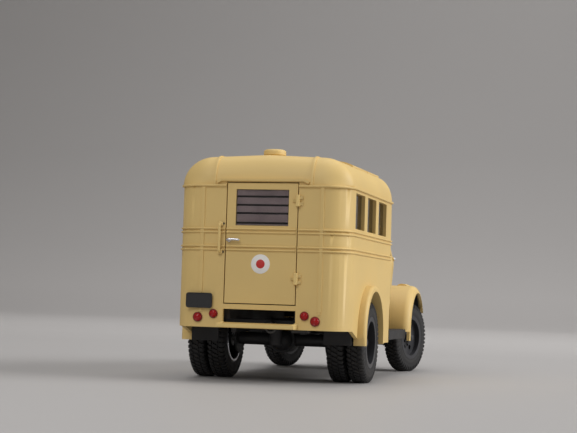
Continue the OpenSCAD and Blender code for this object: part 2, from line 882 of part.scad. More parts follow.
// Cross-section of the fender: distance from its centre and distance from the middle of the model
module fender_flat(inset) {
    r1 = fender_r - inset;
    y0 = fender_in + inset;
    y1 = fender_out - inset;
    rr = fender_round - inset;
    low = fender_r - fender_lip - (inset > 0 ? 1 : 0);
    intersection() {
        union() {
            translate([low - rr, y0]) square([r1 - low, y1 - y0]);
            translate([low, y0 + rr]) square([r1 - low, y1 - y0 - 2 * rr]);
            for (y = [y0 + rr, y1 - rr]) translate([r1 - rr, y]) circle(rr);
        }
        translate([low, y0]) square([r1 - low, y1 - y0]);
    }
}

module fender_section() {
    difference() {
        fender_flat(0);
        fender_flat(fender_wall);
    }
}

// Fender of the right side, with the headlamp pod and the lip running down behind the wheel
module fender() {
    translate([wheelbase, 0, fender_z]) rotate([90, 0, 0]) rotate([0, 0, fender_front])
        rotate_extrude(angle = 180 - fender_front) fender_section();
    translate([wheelbase - fender_r, -fender_out, fender_z - fender_foot])
        cube([fender_lip, fender_wall, fender_foot + eps]);
    difference() {
        bar_x([wheelbase + pod_reach - pod_len, wheelbase + pod_reach], -pod_y, pod_z(), pod_r);
        bar_x([wheelbase + pod_reach - lens_inset, wheelbase + pod_reach + 1], -pod_y, pod_z(),
            pod_r - pod_rim);
        bar_y(wheelbase, [-fender_out - 1, 0], fender_z, fender_r - fender_wall / 2);
    }
}

function pod_z() = fender_z + fender_r * 0.86;

module fender_right() {
    color(paint) fender();
}

module fender_left() {
    color(paint) mirror([0, 1, 0]) fender();
}

module headlamp_lenses() {
    x = wheelbase + pod_reach - lens_inset;
    color(bright)
        both_sides() bar_x([x, x + 0.8], pod_y, pod_z(), pod_r - pod_rim - 0.1);
}

module bumper() {
    r = (bumper_z[1] - bumper_z[0]) / 2;
    x = [bumper_x - bumper_t, bumper_x];
    color(black) {
        box(x, [r - bumper_half, bumper_half - r], bumper_z);
        for (s = [-1, 1]) bar_x(x, s * (bumper_half - r), bumper_z[0] + r, r);
    }
}

// Running boards: thickness and width outside the cab sill; brackets to the frame
board_t = 0.8;
board_out = 4.2;
bracket_w = 1.2;
// edge folded down along the outside and at the front end
board_skirt = 1.9;
board_skirt_t = 0.6;

module running_boards() {
    z = rail_z;
    front = wheelbase - fender_r - 0.3;
    sill = cab_low_w / 2;
    color(black)
        both_sides() {
            box([cab_back + 0.4, front], [sill - 0.6, sill + board_out], [z, z + board_t]);
            box([cab_back + 0.4, front], [sill + board_out - board_skirt_t, sill + board_out],
                [z - board_skirt, z + eps]);
            box([front - board_skirt_t, front], [sill - 0.6, sill + board_out], [z - board_skirt, z + eps]);
            for (x = [cab_back + 0.6, front - 4.7])
                box([x, x + bracket_w], [frame_w / 2, sill], [z, z + board_t - 0.1]);
        }
}

rail_x = [-rear_overhang + 9.3, bumper_x - bumper_t];

module frame_rails() {
    color(black)
        both_sides() box(rail_x, [frame_w / 2 - rail_w, frame_w / 2], [rail_z, rail_top]);
}

// Cross-members between the rails: place along the frame
cross_x = [rail_x[0] + 0.2, plinth_x[0] - 0.9, van_front - 15.6, cab_back + 1.6, cab_front - 5.2];
cross_w = 1.8;

module cross_members() {
    y1 = frame_w / 2 - rail_w;
    color(black)
        difference() {
            union() {
                for (x = cross_x) box([x, x + cross_w], [-y1, y1], [rail_top - 1.3, rail_top - 0.1]);
                bar_z(plinth_x[0], 0, [plinth_z, rail_top - 0.6], plinth_boss_r);
            }
            bar_z(plinth_x[0], 0, [plinth_z - 1, plinth_z + plinth_depth], plinth_hole_r);
        }
}

// Leaf pack: stacked leaves on one shallow curve, the longest on top
module leaf_pack(x, span, y, z, rise) {
    side_prism(y) translate([x, z])
        for (i = [0:2]) {
            half = span * (0.5 + 0.25 * i) / 2;
            top = [for (k = [-4:4]) [half * k / 4, rise * pow(half * k / 4 / (span / 2), 2)]];
            polygon(concat([for (q = top) q + [0, i * leaf_t]],
                [for (k = [8:-1:0]) top[k] + [0, (i + 1) * leaf_t + 0.02]]));
        }
}

module rear_springs() {
    rail_y = frame_w / 2;
    y = [rail_y + spring_gap, rail_y + spring_gap + spring_w];
    low = axle_z + axle_tube_r + 0.1;
    color(black)
        both_sides() {
            leaf_pack(0, rear_span, y, low, rear_rise);
            for (s = [-1, 1])
                translate([s * (rear_span - hanger_w) / 2, 0, 0])
                    box([-hanger_w / 2, hanger_w / 2], [rail_y, y[1]], [low + rear_rise + 0.2, rail_top - 0.2]);
        }
}

module front_springs() {
    y = [frame_w / 2 - rail_w, frame_w / 2];
    low = axle_z - 0.5;
    color(black)
        both_sides() {
            leaf_pack(wheelbase, front_span, y, low, front_rise);
            for (s = [-1, 1])
                translate([wheelbase + s * (front_span / 2 - hanger_w), 0, 0])
                    box([-hanger_w / 2, hanger_w / 2], y + [0.15, -0.15], [low + front_rise + leaf_t, rail_z]);
        }
}

module rear_axle() {
    end = tub_in - 0.3;
    color(black)
        difference() {
            union() {
                bar_y(0, [-end, end], axle_z, axle_tube_r);
                bar_x([-2.6, 3.2], 0, axle_z, 3.6);
                translate([-2.4, 0, axle_z]) sphere(3);
                bar_x([3, axle_nose], 0, axle_z, 1.6);
                for (s = [-1, 1]) bar_y(0, [s * (end - 0.25) - 0.25, s * (end - 0.25) + 0.25], axle_z, drum_r);
            }
            bar_y(0, [-end - 1, end + 1], axle_z, axle_rod_r + fit);
        }
}

module front_axle() {
    z = axle_z;
    bend = kingpin_y - 4.6;
    color(black)
        difference() {
            union() {
                box([wheelbase - 0.8, wheelbase + 0.8], [-bend, bend], [z - 1.9, z - 0.5]);
                for (s = [-1, 1]) {
                    rod([wheelbase, s * (bend - 0.4), z - 1.2], [wheelbase, s * kingpin_y, z], 0.7);
                    bar_z(wheelbase, s * kingpin_y, [z - boss_h / 2, z + boss_h / 2], boss_r);
                }
            }
            for (s = [-1, 1])
                bar_z(wheelbase, s * kingpin_y, [z - 5, z + 5], kingpin_r + fit);
        }
}

// Gearbox under the cab: length ahead of its tail, half width
gearbox_tail = cab_front - 9.2;
gearbox_half = 4.4;
tail_len = 3;

module gearbox() {
    color(dark) {
        box([gearbox_tail, cab_front + 1], [-gearbox_half, gearbox_half], [rail_z - 1.4, rail_top - 1.6]);
        bar_x([gearbox_tail - tail_len, gearbox_tail + eps], 0, rail_z - 0.2, 1.7);
    }
}

module drive_shaft() {
    color(black)
        rod([axle_nose + 0.1, 0, axle_z + 0.1], [gearbox_tail - tail_len - 0.1, 0, rail_z - 0.4], 0.7);
}

// Fuel tank on the left rail: its place along the cab, its depth and the radius of its edges
tank_x = [cab_back + 2.4, cab_back + 14.4];
tank_w = 6.6;
tank_r = 1.2;

module fuel_tank() {
    y = [frame_w / 2, frame_w / 2 + tank_w];
    z = [rail_z - 2.4, rail_z + 2];
    r = tank_r;
    color(black)
        end_prism(tank_x) {
            translate([y[0], z[0] + r]) square([y[1] - y[0], z[1] - z[0] - 2 * r]);
            translate([y[0] + r, z[0]]) square([y[1] - y[0] - 2 * r, z[1] - z[0]]);
            for (a = [y[0] + r, y[1] - r], b = [z[0] + r, z[1] - r]) translate([a, b]) circle(r);
        }
}

// Exhaust: pipe, silencer and the side of the frame that it runs along
pipe_r = 0.5;
silencer_r = 1.1;
pipe_y = -5.6;

module exhaust() {
    z = rail_top - 2;
    bend = [-rear_overhang + 13.8, pipe_y, z];
    elbow = [-rear_overhang + 7.7, pipe_y - 1.6, z - 0.8];
    tip = [-rear_overhang + 5.1, pipe_y - 6.4, z - 0.6];
    silencer = [van_front - 11.6, van_front + 0.4];
    color(bright) {
        bar_x([bend[0], silencer[0] + 0.2], pipe_y, z, pipe_r);
        bar_x(silencer, pipe_y, z, silencer_r);
        bar_x([silencer[1] - 0.2, gearbox_tail - tail_len - 1], pipe_y, z, pipe_r);
        rod(bend, elbow, pipe_r);
        rod(elbow, tip, pipe_r);
        translate(bend) sphere(pipe_r + 0.08);
        translate(elbow) sphere(pipe_r + 0.08);
    }
}

// Places its children on the steering pivot of one side, turned as parked
module on_kingpin(s)
    translate([wheelbase, s * kingpin_y, axle_z]) rotate([0, 0, -parked_steer]) children();

// Steering knuckle: fork round the axle boss, pin, stub axle and arm to the tie rod
module knuckle(s) {
    z1 = boss_h / 2 + fork_gap;
    z2 = z1 + fork_h;
    out = boss_r + 0.3;
    end = wheel_out + 1.2;
    color(black)
        on_kingpin(s) {
            bar_z(0, 0, [-z2, z2], kingpin_r);
            for (z = [-z2, z1]) {
                bar_z(0, 0, [z, z + fork_h], boss_r);
                box([-0.8, 0.8], [min(0, s * (out + 0.5)), max(0, s * (out + 0.5))], [z, z + fork_h]);
            }
            box([-0.8, 0.8], [min(s * out, s * (out + 0.6)), max(s * out, s * (out + 0.6))], [-z2, z2]);
            bar_y(0, [min(s * out, s * end), max(s * out, s * end)], 0, stub_r);
            rod([0, 0, -z2 + arm_h / 2], [-arm_back, 0, -z2 + arm_h / 2], arm_h / 2);
            bar_z(-arm_back, 0, [-z2, -z2 + arm_h], arm_r);
            bar_z(-arm_back, 0, [-z2 - rod_h - 0.3, -z2 + eps], arm_pin_r);
        }
}

module knuckle_left() knuckle(1);
module knuckle_right() knuckle(-1);

// Tie rod under the two steering arms; it keeps parallel to the axle
module tie_rod() {
    top = axle_z - boss_h / 2 - fork_gap - fork_h - 0.1;
    color(black)
        translate([wheelbase - arm_back * cos(parked_steer), arm_back * sin(parked_steer), 0])
            difference() {
                union() {
                    box([-0.35, 0.35], [-kingpin_y, kingpin_y], [top - rod_h, top]);
                    for (s = [-1, 1]) bar_z(0, s * kingpin_y, [top - rod_h, top], arm_r);
                }
                for (s = [-1, 1]) bar_z(0, s * kingpin_y, [top - 5, top + 5], arm_pin_r + fit);
            }
}

// Corners of a regular polygon
function ring(n, r) = [for (i = [0:n - 1]) r * [cos(i * 360 / n), sin(i * 360 / n)]];

// Outline of the lugs, each with a flat tip, one of them at the bottom
function lug_ring(r) = let (step = 360 / lug_count, tip = r / cos(lug_share / 2 * step))
    [for (i = [0:lug_count - 1], c = [[-lug_share / 2, tip], [lug_share / 2, tip],
        [0.5 - lug_gap / 2, r - lug_depth], [0.5 + lug_gap / 2, r - lug_depth]])
        let (a = 90 + (i + c[0]) * step) c[1] * [cos(a), sin(a)]];

// Tyre round the Y axis with flat sides, plain facets to keep its mesh small
module tyre() {
    r = tyre_d / 2;
    h = tyre_w / 2;
    bead_h = h - bead_depth;
    rotate([-90, 0, 0])
        difference() {
            union() {
                translate([0, 0, -h + lug_shoulder]) linear_extrude(2 * (h - lug_shoulder)) polygon(lug_ring(r));
                translate([0, 0, -h]) linear_extrude(2 * h) polygon(ring(tyre_facets, r - lug_depth - 0.3));
            }
            for (z = [bead_h, -h - 1]) translate([0, 0, z])
                linear_extrude(h - bead_h + 1) polygon(ring(tyre_facets, rim_d / 2 + bead_lip));
            translate([0, 0, -h - 1]) linear_extrude(2 * h + 2)
                polygon(ring(tyre_facets, (rim_d / 2 + seat_gap) / cos(180 / tyre_facets)));
        }
}

// Rim barrel with its two flanges, between the axial places given
module barrel(y) {
    r = rim_d / 2;
    difference() {
        union() {
            bar_y(0, y, 0, r);
            for (a = [[y[0], y[0] + 0.25], [y[1] - 0.25, y[1]]]) bar_y(0, a, 0, r + 0.5);
        }
        bar_y(0, [y[0] - 1, y[1] + 1], 0, r - 0.7);
    }
}

// Front wheel with the disc near its outer side; Y points outwards
module front_rim() {
    half = tyre_w / 2 - 0.1;
    face = half - 1.5;
    color(dark)
        difference() {
            union() {
                barrel([-half, half]);
                bar_y(0, [face - 0.5, face], 0, rim_d / 2 - 0.6);
                bar_y(0, [-1.6, face + 0.9], 0, hub_r);
                bar_y(0, [face, face + 1.5], 0, 1.1);
            }
            bar_y(0, [-half - 3, 1.3], 0, stub_r + fit);
            for (i = [0:5]) rotate([0, i * 60, 0]) bar_y(3.7, [-half, half], 0, 0.8);
        }
}

module front_rim_left() on_kingpin(1) translate([0, wheel_out, 0]) front_rim();
module front_rim_right() on_kingpin(-1) translate([0, -wheel_out, 0]) mirror([0, 1, 0]) front_rim();
module front_tyre_left() color(rubber) on_kingpin(1) translate([0, wheel_out, 0]) tyre();
module front_tyre_right() color(rubber) on_kingpin(-1) translate([0, -wheel_out, 0]) tyre();

// Twin rims of both sides, pressed on the axle rod
module rear_rims() {
    half = tyre_w / 2 - 0.1;
    mid = rear_track / 2;
    y_in = mid - twin_pitch / 2;
    y_out = mid + twin_pitch / 2;
    color(dark)
        translate([0, 0, axle_z])
            both_sides() difference() {
                union() {
                    barrel([y_in - half, y_in + half]);
                    barrel([y_out - half, y_out + half]);
                    bar_y(0, [y_in + half - 0.5, y_out - half + 0.5], 0, rim_d / 2 - 0.6);
                    bar_y(0, [y_in - half + 0.3, y_out], 0, 2.2);
                    bar_y(0, [y_out - eps, y_out + 0.9], 0, 1.4);
                }
                for (i = [0:5]) rotate([0, i * 60, 0]) bar_y(3.9, [0, 40], 0, 0.8);
                bar_y(0, [0, mid], 0, axle_rod_r);
            }
}

// Rod through the rear axle tube
module axle_rod() {
    color(bright) bar_y(0, [-rear_track / 2, rear_track / 2], axle_z, axle_rod_r);
}

module rear_tyres() {
    color(rubber)
        for (s = [-1, 1], k = [-0.5, 0.5])
            translate([0, s * (rear_track / 2 + k * twin_pitch), axle_z]) tyre();
}

at_origin() van_walls();
at_origin() van_roof();
at_origin() roof_vent();
at_origin() van_floor();
at_origin() van_benches();
at_origin() van_glazing();
at_origin() rear_door();
at_origin() rear_door_glass();
at_origin() rear_blind();
at_origin() rear_door_handle();
at_origin() grab_handle();
at_origin() rear_step();
at_origin() tail_lamps();
at_origin() number_plate();
at_origin() mudflaps();
at_origin() tow_eye();
at_origin() cab_shell();
at_origin() cab_glazing();
at_origin() cab_seat();
at_origin() dashboard();
at_origin() steering_wheel();
at_origin() bonnet();
at_origin() engine_bay();
at_origin() grille();
at_origin() fender_left();
at_origin() fender_right();
at_origin() headlamp_lenses();
at_origin() bumper();
at_origin() running_boards();
at_origin() frame_rails();
at_origin() cross_members();
at_origin() rear_springs();
at_origin() front_springs();
at_origin() rear_axle();
at_origin() front_axle();
at_origin() gearbox();
at_origin() drive_shaft();
at_origin() fuel_tank();
at_origin() exhaust();
at_origin() knuckle_left();
at_origin() knuckle_right();
at_origin() tie_rod();
at_origin() front_rim_left();
at_origin() front_rim_right();
at_origin() front_tyre_left();
at_origin() front_tyre_right();
at_origin() axle_rod();
at_origin() rear_rims();
at_origin() rear_tyres();
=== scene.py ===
import json
import math

import bmesh
import bpy
from mathutils import Matrix, Vector
from mathutils.bvhtree import BVHTree


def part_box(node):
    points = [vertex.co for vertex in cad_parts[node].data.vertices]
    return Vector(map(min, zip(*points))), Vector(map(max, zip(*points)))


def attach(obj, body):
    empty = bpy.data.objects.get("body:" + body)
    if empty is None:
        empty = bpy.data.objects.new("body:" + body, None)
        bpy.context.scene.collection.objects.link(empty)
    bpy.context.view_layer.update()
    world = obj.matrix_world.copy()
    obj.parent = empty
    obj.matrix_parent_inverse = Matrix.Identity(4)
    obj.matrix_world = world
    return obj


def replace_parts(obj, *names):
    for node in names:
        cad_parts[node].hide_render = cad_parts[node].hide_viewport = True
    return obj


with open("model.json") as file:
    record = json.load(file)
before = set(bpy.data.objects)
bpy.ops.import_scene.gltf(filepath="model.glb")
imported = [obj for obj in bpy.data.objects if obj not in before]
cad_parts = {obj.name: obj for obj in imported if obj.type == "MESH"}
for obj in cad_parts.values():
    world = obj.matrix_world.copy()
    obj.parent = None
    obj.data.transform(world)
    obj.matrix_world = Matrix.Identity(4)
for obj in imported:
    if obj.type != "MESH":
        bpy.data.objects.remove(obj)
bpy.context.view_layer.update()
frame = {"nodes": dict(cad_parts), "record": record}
nodes = frame["nodes"]
record = frame["record"]
slot_of = {s["node"]: s["material_slot"] for s in record["subparts"]}
body_of = {n: b for b, names in record["behaviour"]["bodies"].items() for n in names}

# Lengths are millimetres on the model. X is counted from the rear axle, Y from the middle
# and Z from the ground; to_row() turns such a place into the row's metres.
MM = 0.001
WHEELBASE = 76.8
REAR = -26.3
STEP_REACH = 4.0
FRONT_OVERHANG = 19.4
MID = (WHEELBASE + FRONT_OVERHANG + REAR - STEP_REACH) / 2
AXLE_Z = 10.8
KINGPIN_Y = 15.7
WHEEL_OUT = 4.6
STEER = math.radians(-16.0)
TWIN_Y = [16.4, 21.8]
VAN_FRONT = 33.6
VAN_HALF = 23.0
CAB_BACK = 34.4
CAB_FRONT = 57.2
ROOF_TOP = 59.0


def to_row(v):
    """Metres in the row's frame of a place in millimetres."""
    return Vector(((v[0] - MID) * MM, v[1] * MM, v[2] * MM))


def mm_box(name):
    """Lowest and highest corner of a node in millimetres."""
    return [Vector((p[0] / MM + MID, p[1] / MM, p[2] / MM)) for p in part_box(name)]


# Colours and materials


def srgb(r, g, b):
    """Linear colour of an 8-bit display colour."""
    def linear(c):
        c /= 255.0
        return c / 12.92 if c <= 0.04045 else ((c + 0.055) / 1.055) ** 2.4
    return (linear(r), linear(g), linear(b), 1.0)


def shade(c, k):
    return (c[0] * k, c[1] * k, c[2] * k, 1.0)


class Finish:
    """Builds one procedural material round a Principled shader."""

    def __init__(self, name):
        self.mat = bpy.data.materials.new(name)
        self.mat.use_nodes = True
        self.tree = self.mat.node_tree
        self.bsdf = self.tree.nodes["Principled BSDF"]
        self.coord = self.tree.nodes.new("ShaderNodeTexCoord").outputs["Object"]

    def add(self, kind, inputs, **props):
        n = self.tree.nodes.new("ShaderNode" + kind)
        for k, v in props.items():
            setattr(n, k, v)
        for k, v in inputs.items():
            if isinstance(v, bpy.types.NodeSocket):
                self.tree.links.new(v, n.inputs[k])
            else:
                n.inputs[k].default_value = v
        return n

    def noise(self, scale, detail=4.0, rough=0.55, stretch=None):
        src = self.coord
        if stretch:
            src = self.add("Mapping", {"Vector": src, "Scale": stretch}).outputs["Vector"]
        values = {"Vector": src, "Scale": scale, "Detail": detail, "Roughness": rough}
        return self.add("TexNoise", values).outputs["Fac"]

    def ramp(self, fac, stops):
        r = self.add("ValToRGB", {"Fac": fac})
        points = r.color_ramp.elements
        while len(points) < len(stops):
            points.new(0.5)
        for point, (place, colour) in zip(points, stops):
            point.position, point.color = place, colour
        return r.outputs["Color"]

    def level(self, fac, low, high, start=0.3, end=0.7):
        values = {"Value": fac, "From Min": start, "From Max": end, "To Min": low, "To Max": high}
        return self.add("MapRange", values).outputs["Result"]

    def mix(self, fac, a, b):
        n = self.add("Mix", {"Factor": fac, "A": a, "B": b}, data_type="RGBA")
        return n.outputs["Result"]

    def bump(self, height, strength, distance):
        values = {"Height": height, "Strength": strength, "Distance": distance}
        return self.add("Bump", values).outputs["Normal"]

    def set(self, **sockets):
        for k, v in sockets.items():
            socket = self.bsdf.inputs[k.replace("_", " ")]
            if isinstance(v, bpy.types.NodeSocket):
                self.tree.links.new(v, socket)
            else:
                socket.default_value = v
        return self.mat


def painted(name, colour, dust, rough=(0.52, 0.62)):
    """Sprayed paint: faint cloudiness, fine dust specks and a trace of orange peel."""
    f = Finish(name)
    cloud = f.noise(60, 3)
    tint = f.ramp(cloud, [(0.3, shade(colour, 0.965)), (0.5, colour), (0.72, shade(colour, 1.025))])
    specks = f.level(f.noise(520, 5, 0.7), 0.0, 0.10, 0.66, 0.8)
    return f.set(Base_Color=f.mix(specks, tint, dust), Roughness=f.level(cloud, *rough),
                 Normal=f.bump(f.noise(1300, 3, 0.6), 0.05, 0.00003), Coat_Weight=0.08, Coat_Roughness=0.42)


def plastic(name, colour, rough=(0.5, 0.68), grain=1500, depth=0.12):
    """Moulded plastic or rubber with a fine grain."""
    f = Finish(name)
    cloud = f.noise(160, 4)
    tint = f.ramp(cloud, [(0.3, shade(colour, 0.82)), (0.7, shade(colour, 1.18))])
    return f.set(Base_Color=tint, Roughness=f.level(cloud, *rough),
                 Normal=f.bump(f.noise(grain, 3), depth, 0.00004))


def rubber(name, colour, dust):
    """Tyre rubber with dust caught in its grain."""
    f = Finish(name)
    cloud = f.noise(240, 5, 0.65)
    tint = f.mix(f.level(cloud, 0.0, 0.35, 0.45, 0.75), colour, dust)
    return f.set(Base_Color=tint, Roughness=f.level(cloud, 0.55, 0.8),
                 Normal=f.bump(f.noise(1800, 3), 0.2, 0.00005))


def metal(name, colour, rough=(0.14, 0.28)):
    """Bright or brushed metal with a faint drawn grain."""
    f = Finish(name)
    grain = f.noise(420, 4, stretch=(1, 1, 5))
    return f.set(Base_Color=f.ramp(grain, [(0.3, shade(colour, 0.88)), (0.7, colour)]), Metallic=1.0,
                 Roughness=f.level(grain, *rough), Normal=f.bump(f.noise(2200, 2), 0.04, 0.00002))


def clear(name, colour, rough=0.03, transmission=1.0):
    """Glazing or lamp plastic with slight smears."""
    f = Finish(name)
    smear = f.noise(90, 4, stretch=(1, 1, 3))
    tint = f.ramp(smear, [(0.3, shade(colour, 0.9)), (0.7, colour)])
    return f.set(Base_Color=tint, Roughness=f.level(smear, rough, rough + 0.06),
                 Transmission_Weight=transmission, IOR=1.45)


DUST = srgb(128, 104, 64)
M = {
    "paint": painted("sand_paint", srgb(220, 189, 121), DUST),
    "cream": painted("cream_paint", srgb(226, 196, 127), DUST),
    "black": plastic("chassis_black", srgb(36, 35, 36)),
    "dark": plastic("dark_plastic", srgb(48, 44, 41)),
    "flap": plastic("flap_rubber", srgb(42, 41, 42), (0.6, 0.8)),
    "seat": plastic("seat_brown", srgb(96, 70, 48), (0.55, 0.75), 800, 0.3),
    "blind": plastic("blind_grey", srgb(244, 226, 232), (0.4, 0.55)),
    "bright": metal("bright_metal", srgb(212, 212, 216)),
    "steel": metal("steel", srgb(172, 170, 168), (0.28, 0.42)),
    "lamp_red": clear("lamp_red", srgb(176, 22, 26), 0.1, 0.15),
    "rim": painted("rim_grey", srgb(44, 44, 48), srgb(92, 86, 78), (0.36, 0.5)),
    "tyre": rubber("tyre_rubber", srgb(28, 27, 28), srgb(72, 68, 64)),
    "glass": clear("window_glass", srgb(206, 202, 200)),
    "white": painted("sign_white", srgb(238, 235, 230), srgb(176, 168, 150)),
    "red": painted("sign_red", srgb(196, 44, 40), srgb(120, 30, 28)),
    "lamp_dark": plastic("lamp_base_red", srgb(110, 18, 20), (0.3, 0.45)),
    "gap": plastic("shadow_black", srgb(16, 15, 15), (0.7, 0.85)),
    "worn": metal("worn_steel", srgb(84, 82, 80), (0.45, 0.6)),
}

# Mesh tools, in millimetres until piece() makes the object


def piece(bm, name, mat, body, smooth=34.0, normals=True):
    """Turns a millimetre mesh into an object of the row, riding on a body."""
    bmesh.ops.recalc_face_normals(bm, faces=bm.faces)
    for v in bm.verts:
        v.co = to_row(v.co)
    me = bpy.data.meshes.new(name)
    bm.to_mesh(me)
    bm.free()
    me.polygons.foreach_set("use_smooth", [True] * len(me.polygons))
    me.set_sharp_from_angle(angle=math.radians(smooth))
    me.materials.append(mat)
    ob = bpy.data.objects.new(name, me)
    bpy.context.scene.collection.objects.link(ob)
    if normals:
        weighted = ob.modifiers.new("normals", "WEIGHTED_NORMAL")
        weighted.keep_sharp = True
    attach(ob, body)
    return ob


def node_mesh(name):
    """Copy of a node's mesh in millimetres with its doubled corners merged."""
    bm = bmesh.new()
    bm.from_mesh(nodes[name].data)
    for v in bm.verts:
        v.co = Vector((v.co.x / MM + MID, v.co.y / MM, v.co.z / MM))
    bmesh.ops.remove_doubles(bm, verts=bm.verts, dist=0.0015)
    bmesh.ops.dissolve_degenerate(bm, dist=0.001, edges=bm.edges)
    bmesh.ops.dissolve_limit(bm, angle_limit=math.radians(0.8), verts=bm.verts, edges=bm.edges)
    bm.normal_update()
    return bm


def dress(name, bevel, angle=32.0, keep_sharp=None):
    """Copy of a node with its sharp edges rounded, as a casting has them."""
    bm = node_mesh(name)
    if bevel:
        limit = math.radians(angle)
        sharp = []
        for e in bm.edges:
            if len(e.link_faces) != 2 or e.calc_face_angle(0.0) < limit:
                continue
            middle = (e.verts[0].co + e.verts[1].co) / 2
            if not (keep_sharp and keep_sharp(middle)):
                sharp.append(e)
        bmesh.ops.bevel(bm, geom=sharp, offset=bevel, offset_type="OFFSET", segments=2, profile=0.5,
                        affect="EDGES", clamp_overlap=True)
    ob = piece(bm, name + "_skin", M[WORN.get(name, slot_of[name])], body_of[name])
    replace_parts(ob, name)
    return ob


def place(at, along=(0, 0, 1)):
    """Matrix that puts local Z along a direction at a place."""
    turn = Vector(along).to_track_quat("Z", "Y").to_matrix().to_4x4()
    return Matrix.Translation(Vector(at)) @ turn


def revolve(bm, profile, at, along, steps=32):
    """Solid of revolution: profile holds radius and distance along the axis."""
    m = place(at, along)
    rings = []
    for r, h in profile:
        if r < 1e-6:
            rings.append([bm.verts.new(m @ Vector((0, 0, h)))])
            continue
        ring = []
        for i in range(steps):
            a = 2 * math.pi * i / steps
            ring.append(bm.verts.new(m @ Vector((r * math.cos(a), r * math.sin(a), h))))
        rings.append(ring)
    for a, b in zip(rings, rings[1:]):
        for i in range(steps):
            j = (i + 1) % steps
            corners = [a[i % len(a)], a[j % len(a)], b[j % len(b)], b[i % len(b)]]
            corners = list(dict.fromkeys(corners))
            if len(corners) > 2:
                bm.faces.new(corners)
    for ring in (rings[0], rings[-1]):
        if len(ring) > 1:
            bm.faces.new(ring)


def skin(bm, rings):
    """Four-sided faces between each ring of corners and the next."""
    for a, b in zip(rings, rings[1:]):
        for i in range(len(a)):
            j = (i + 1) % len(a)
            bm.faces.new((a[i], a[j], b[j], b[i]))


# domed end of a tube: its length in radii, and the share of the squared radius that it loses
TIP_REACH, TIP_FALL = 0.5, 0.8


def tube(bm, path, radius, sides=12):
    """Round bar along a list of places, with domed ends; radius may be one value or one a place."""
    pts = [Vector(p) for p in path]
    radii = radius if isinstance(radius, list) else [radius] * len(pts)
    first = (pts[1] - pts[0]).normalized()
    last = (pts[-1] - pts[-2]).normalized()
    stations = []
    for k in (1.0, 0.7):
        narrow = radii[0] * math.sqrt(1 - k * k * TIP_FALL)
        stations.append((pts[0] - first * radii[0] * TIP_REACH * k, first, narrow))
    for i, p in enumerate(pts):
        a = pts[max(i - 1, 0)]
        b = pts[min(i + 1, len(pts) - 1)]
        stations.append((p, (b - a).normalized(), radii[i]))
    for k in (0.7, 1.0):
        narrow = radii[-1] * math.sqrt(1 - k * k * TIP_FALL)
        stations.append((pts[-1] + last * radii[-1] * TIP_REACH * k, last, narrow))
    side = first.orthogonal().normalized()
    rings = []
    for p, d, r in stations:
        side = (side - d * side.dot(d)).normalized()
        other = d.cross(side)
        ring = []
        for i in range(sides):
            a = 2 * math.pi * i / sides
            ring.append(bm.verts.new(p + side * (r * math.cos(a)) + other * (r * math.sin(a))))
        rings.append(ring)
    skin(bm, rings)
    bm.faces.new(rings[0])
    bm.faces.new(rings[-1])


def slab(bm, x, y, z, round_by=0.06, turn=None):
    """Block between two values along each axis, its edges rounded."""
    made = bmesh.ops.create_cube(bm, size=1.0)["verts"]
    mid = Vector(((x[0] + x[1]) / 2, (y[0] + y[1]) / 2, (z[0] + z[1]) / 2))
    size = Vector((x[1] - x[0], y[1] - y[0], z[1] - z[0]))
    for v in made:
        v.co = Vector((v.co.x * size.x, v.co.y * size.y, v.co.z * size.z))
    edges = list({e for v in made for e in v.link_edges})
    out = bmesh.ops.bevel(bm, geom=edges, offset=min(round_by, min(size) * 0.4), segments=2, profile=0.5,
                          affect="EDGES")
    verts = {v for f in out["faces"] for v in f.verts}
    m = Matrix.Translation(mid) @ (turn.to_4x4() if turn else Matrix.Identity(4))
    for v in verts:
        v.co = m @ v.co


def arc(centre, a, b, start, end, steps=6):
    """Places on an arc: centre + a cos + b sin, angles in degrees."""
    c, a, b = Vector(centre), Vector(a), Vector(b)
    out = []
    for i in range(steps + 1):
        t = math.radians(start + (end - start) * i / steps)
        out.append(c + a * math.cos(t) + b * math.sin(t))
    return out


def rounded_outline(half_w, half_h, r, steps=6):
    """Corner places of a rectangle with round corners, in two coordinates."""
    out = []
    for sx, sy, start in ((1, 1, 0), (-1, 1, 90), (-1, -1, 180), (1, -1, 270)):
        for i in range(steps + 1):
            t = math.radians(start + 90 * i / steps)
            out.append((sx * (half_w - r) + r * math.cos(t), sy * (half_h - r) + r * math.sin(t)))
    return out


def stack(bm, rings):
    """Skin through closed rings of places with equal counts, ends closed."""
    made = [[bm.verts.new(Vector(p)) for p in ring] for ring in rings]
    skin(bm, made)
    bm.faces.new(made[0])
    bm.faces.new(made[-1])


def surface(name):
    """Tree for finding places on a node's skin, in millimetres."""
    bm = node_mesh(name)
    bmesh.ops.triangulate(bm, faces=bm.faces)
    tree = BVHTree.FromBMesh(bm)
    bm.free()
    return tree


def hit(tree, start, direction):
    """Place and outward normal where a line first meets a skin."""
    at, normal, _, _ = tree.ray_cast(Vector(start), Vector(direction))
    return at, (normal if normal.dot(Vector(direction)) < 0 else -normal)


def screw(bm, at, along, r=0.22):
    """Round screw head with a slot-like dimple, standing on a surface."""
    profile = [(r, -0.05), (r, 0.06), (r * 0.8, 0.13), (r * 0.45, 0.16), (r * 0.3, 0.1), (0, 0.1)]
    revolve(bm, profile, at, along, 14)


# Camera, fitted to the photograph
CAMERA_AT = (-379.42, -99.32, 21.92)
CAMERA_YAW, CAMERA_PITCH, CAMERA_ROLL = 14.648, 3.269, 1.797
FOCAL_PX = 1435.7
IMAGE_W = 577
SENSOR = 36.0


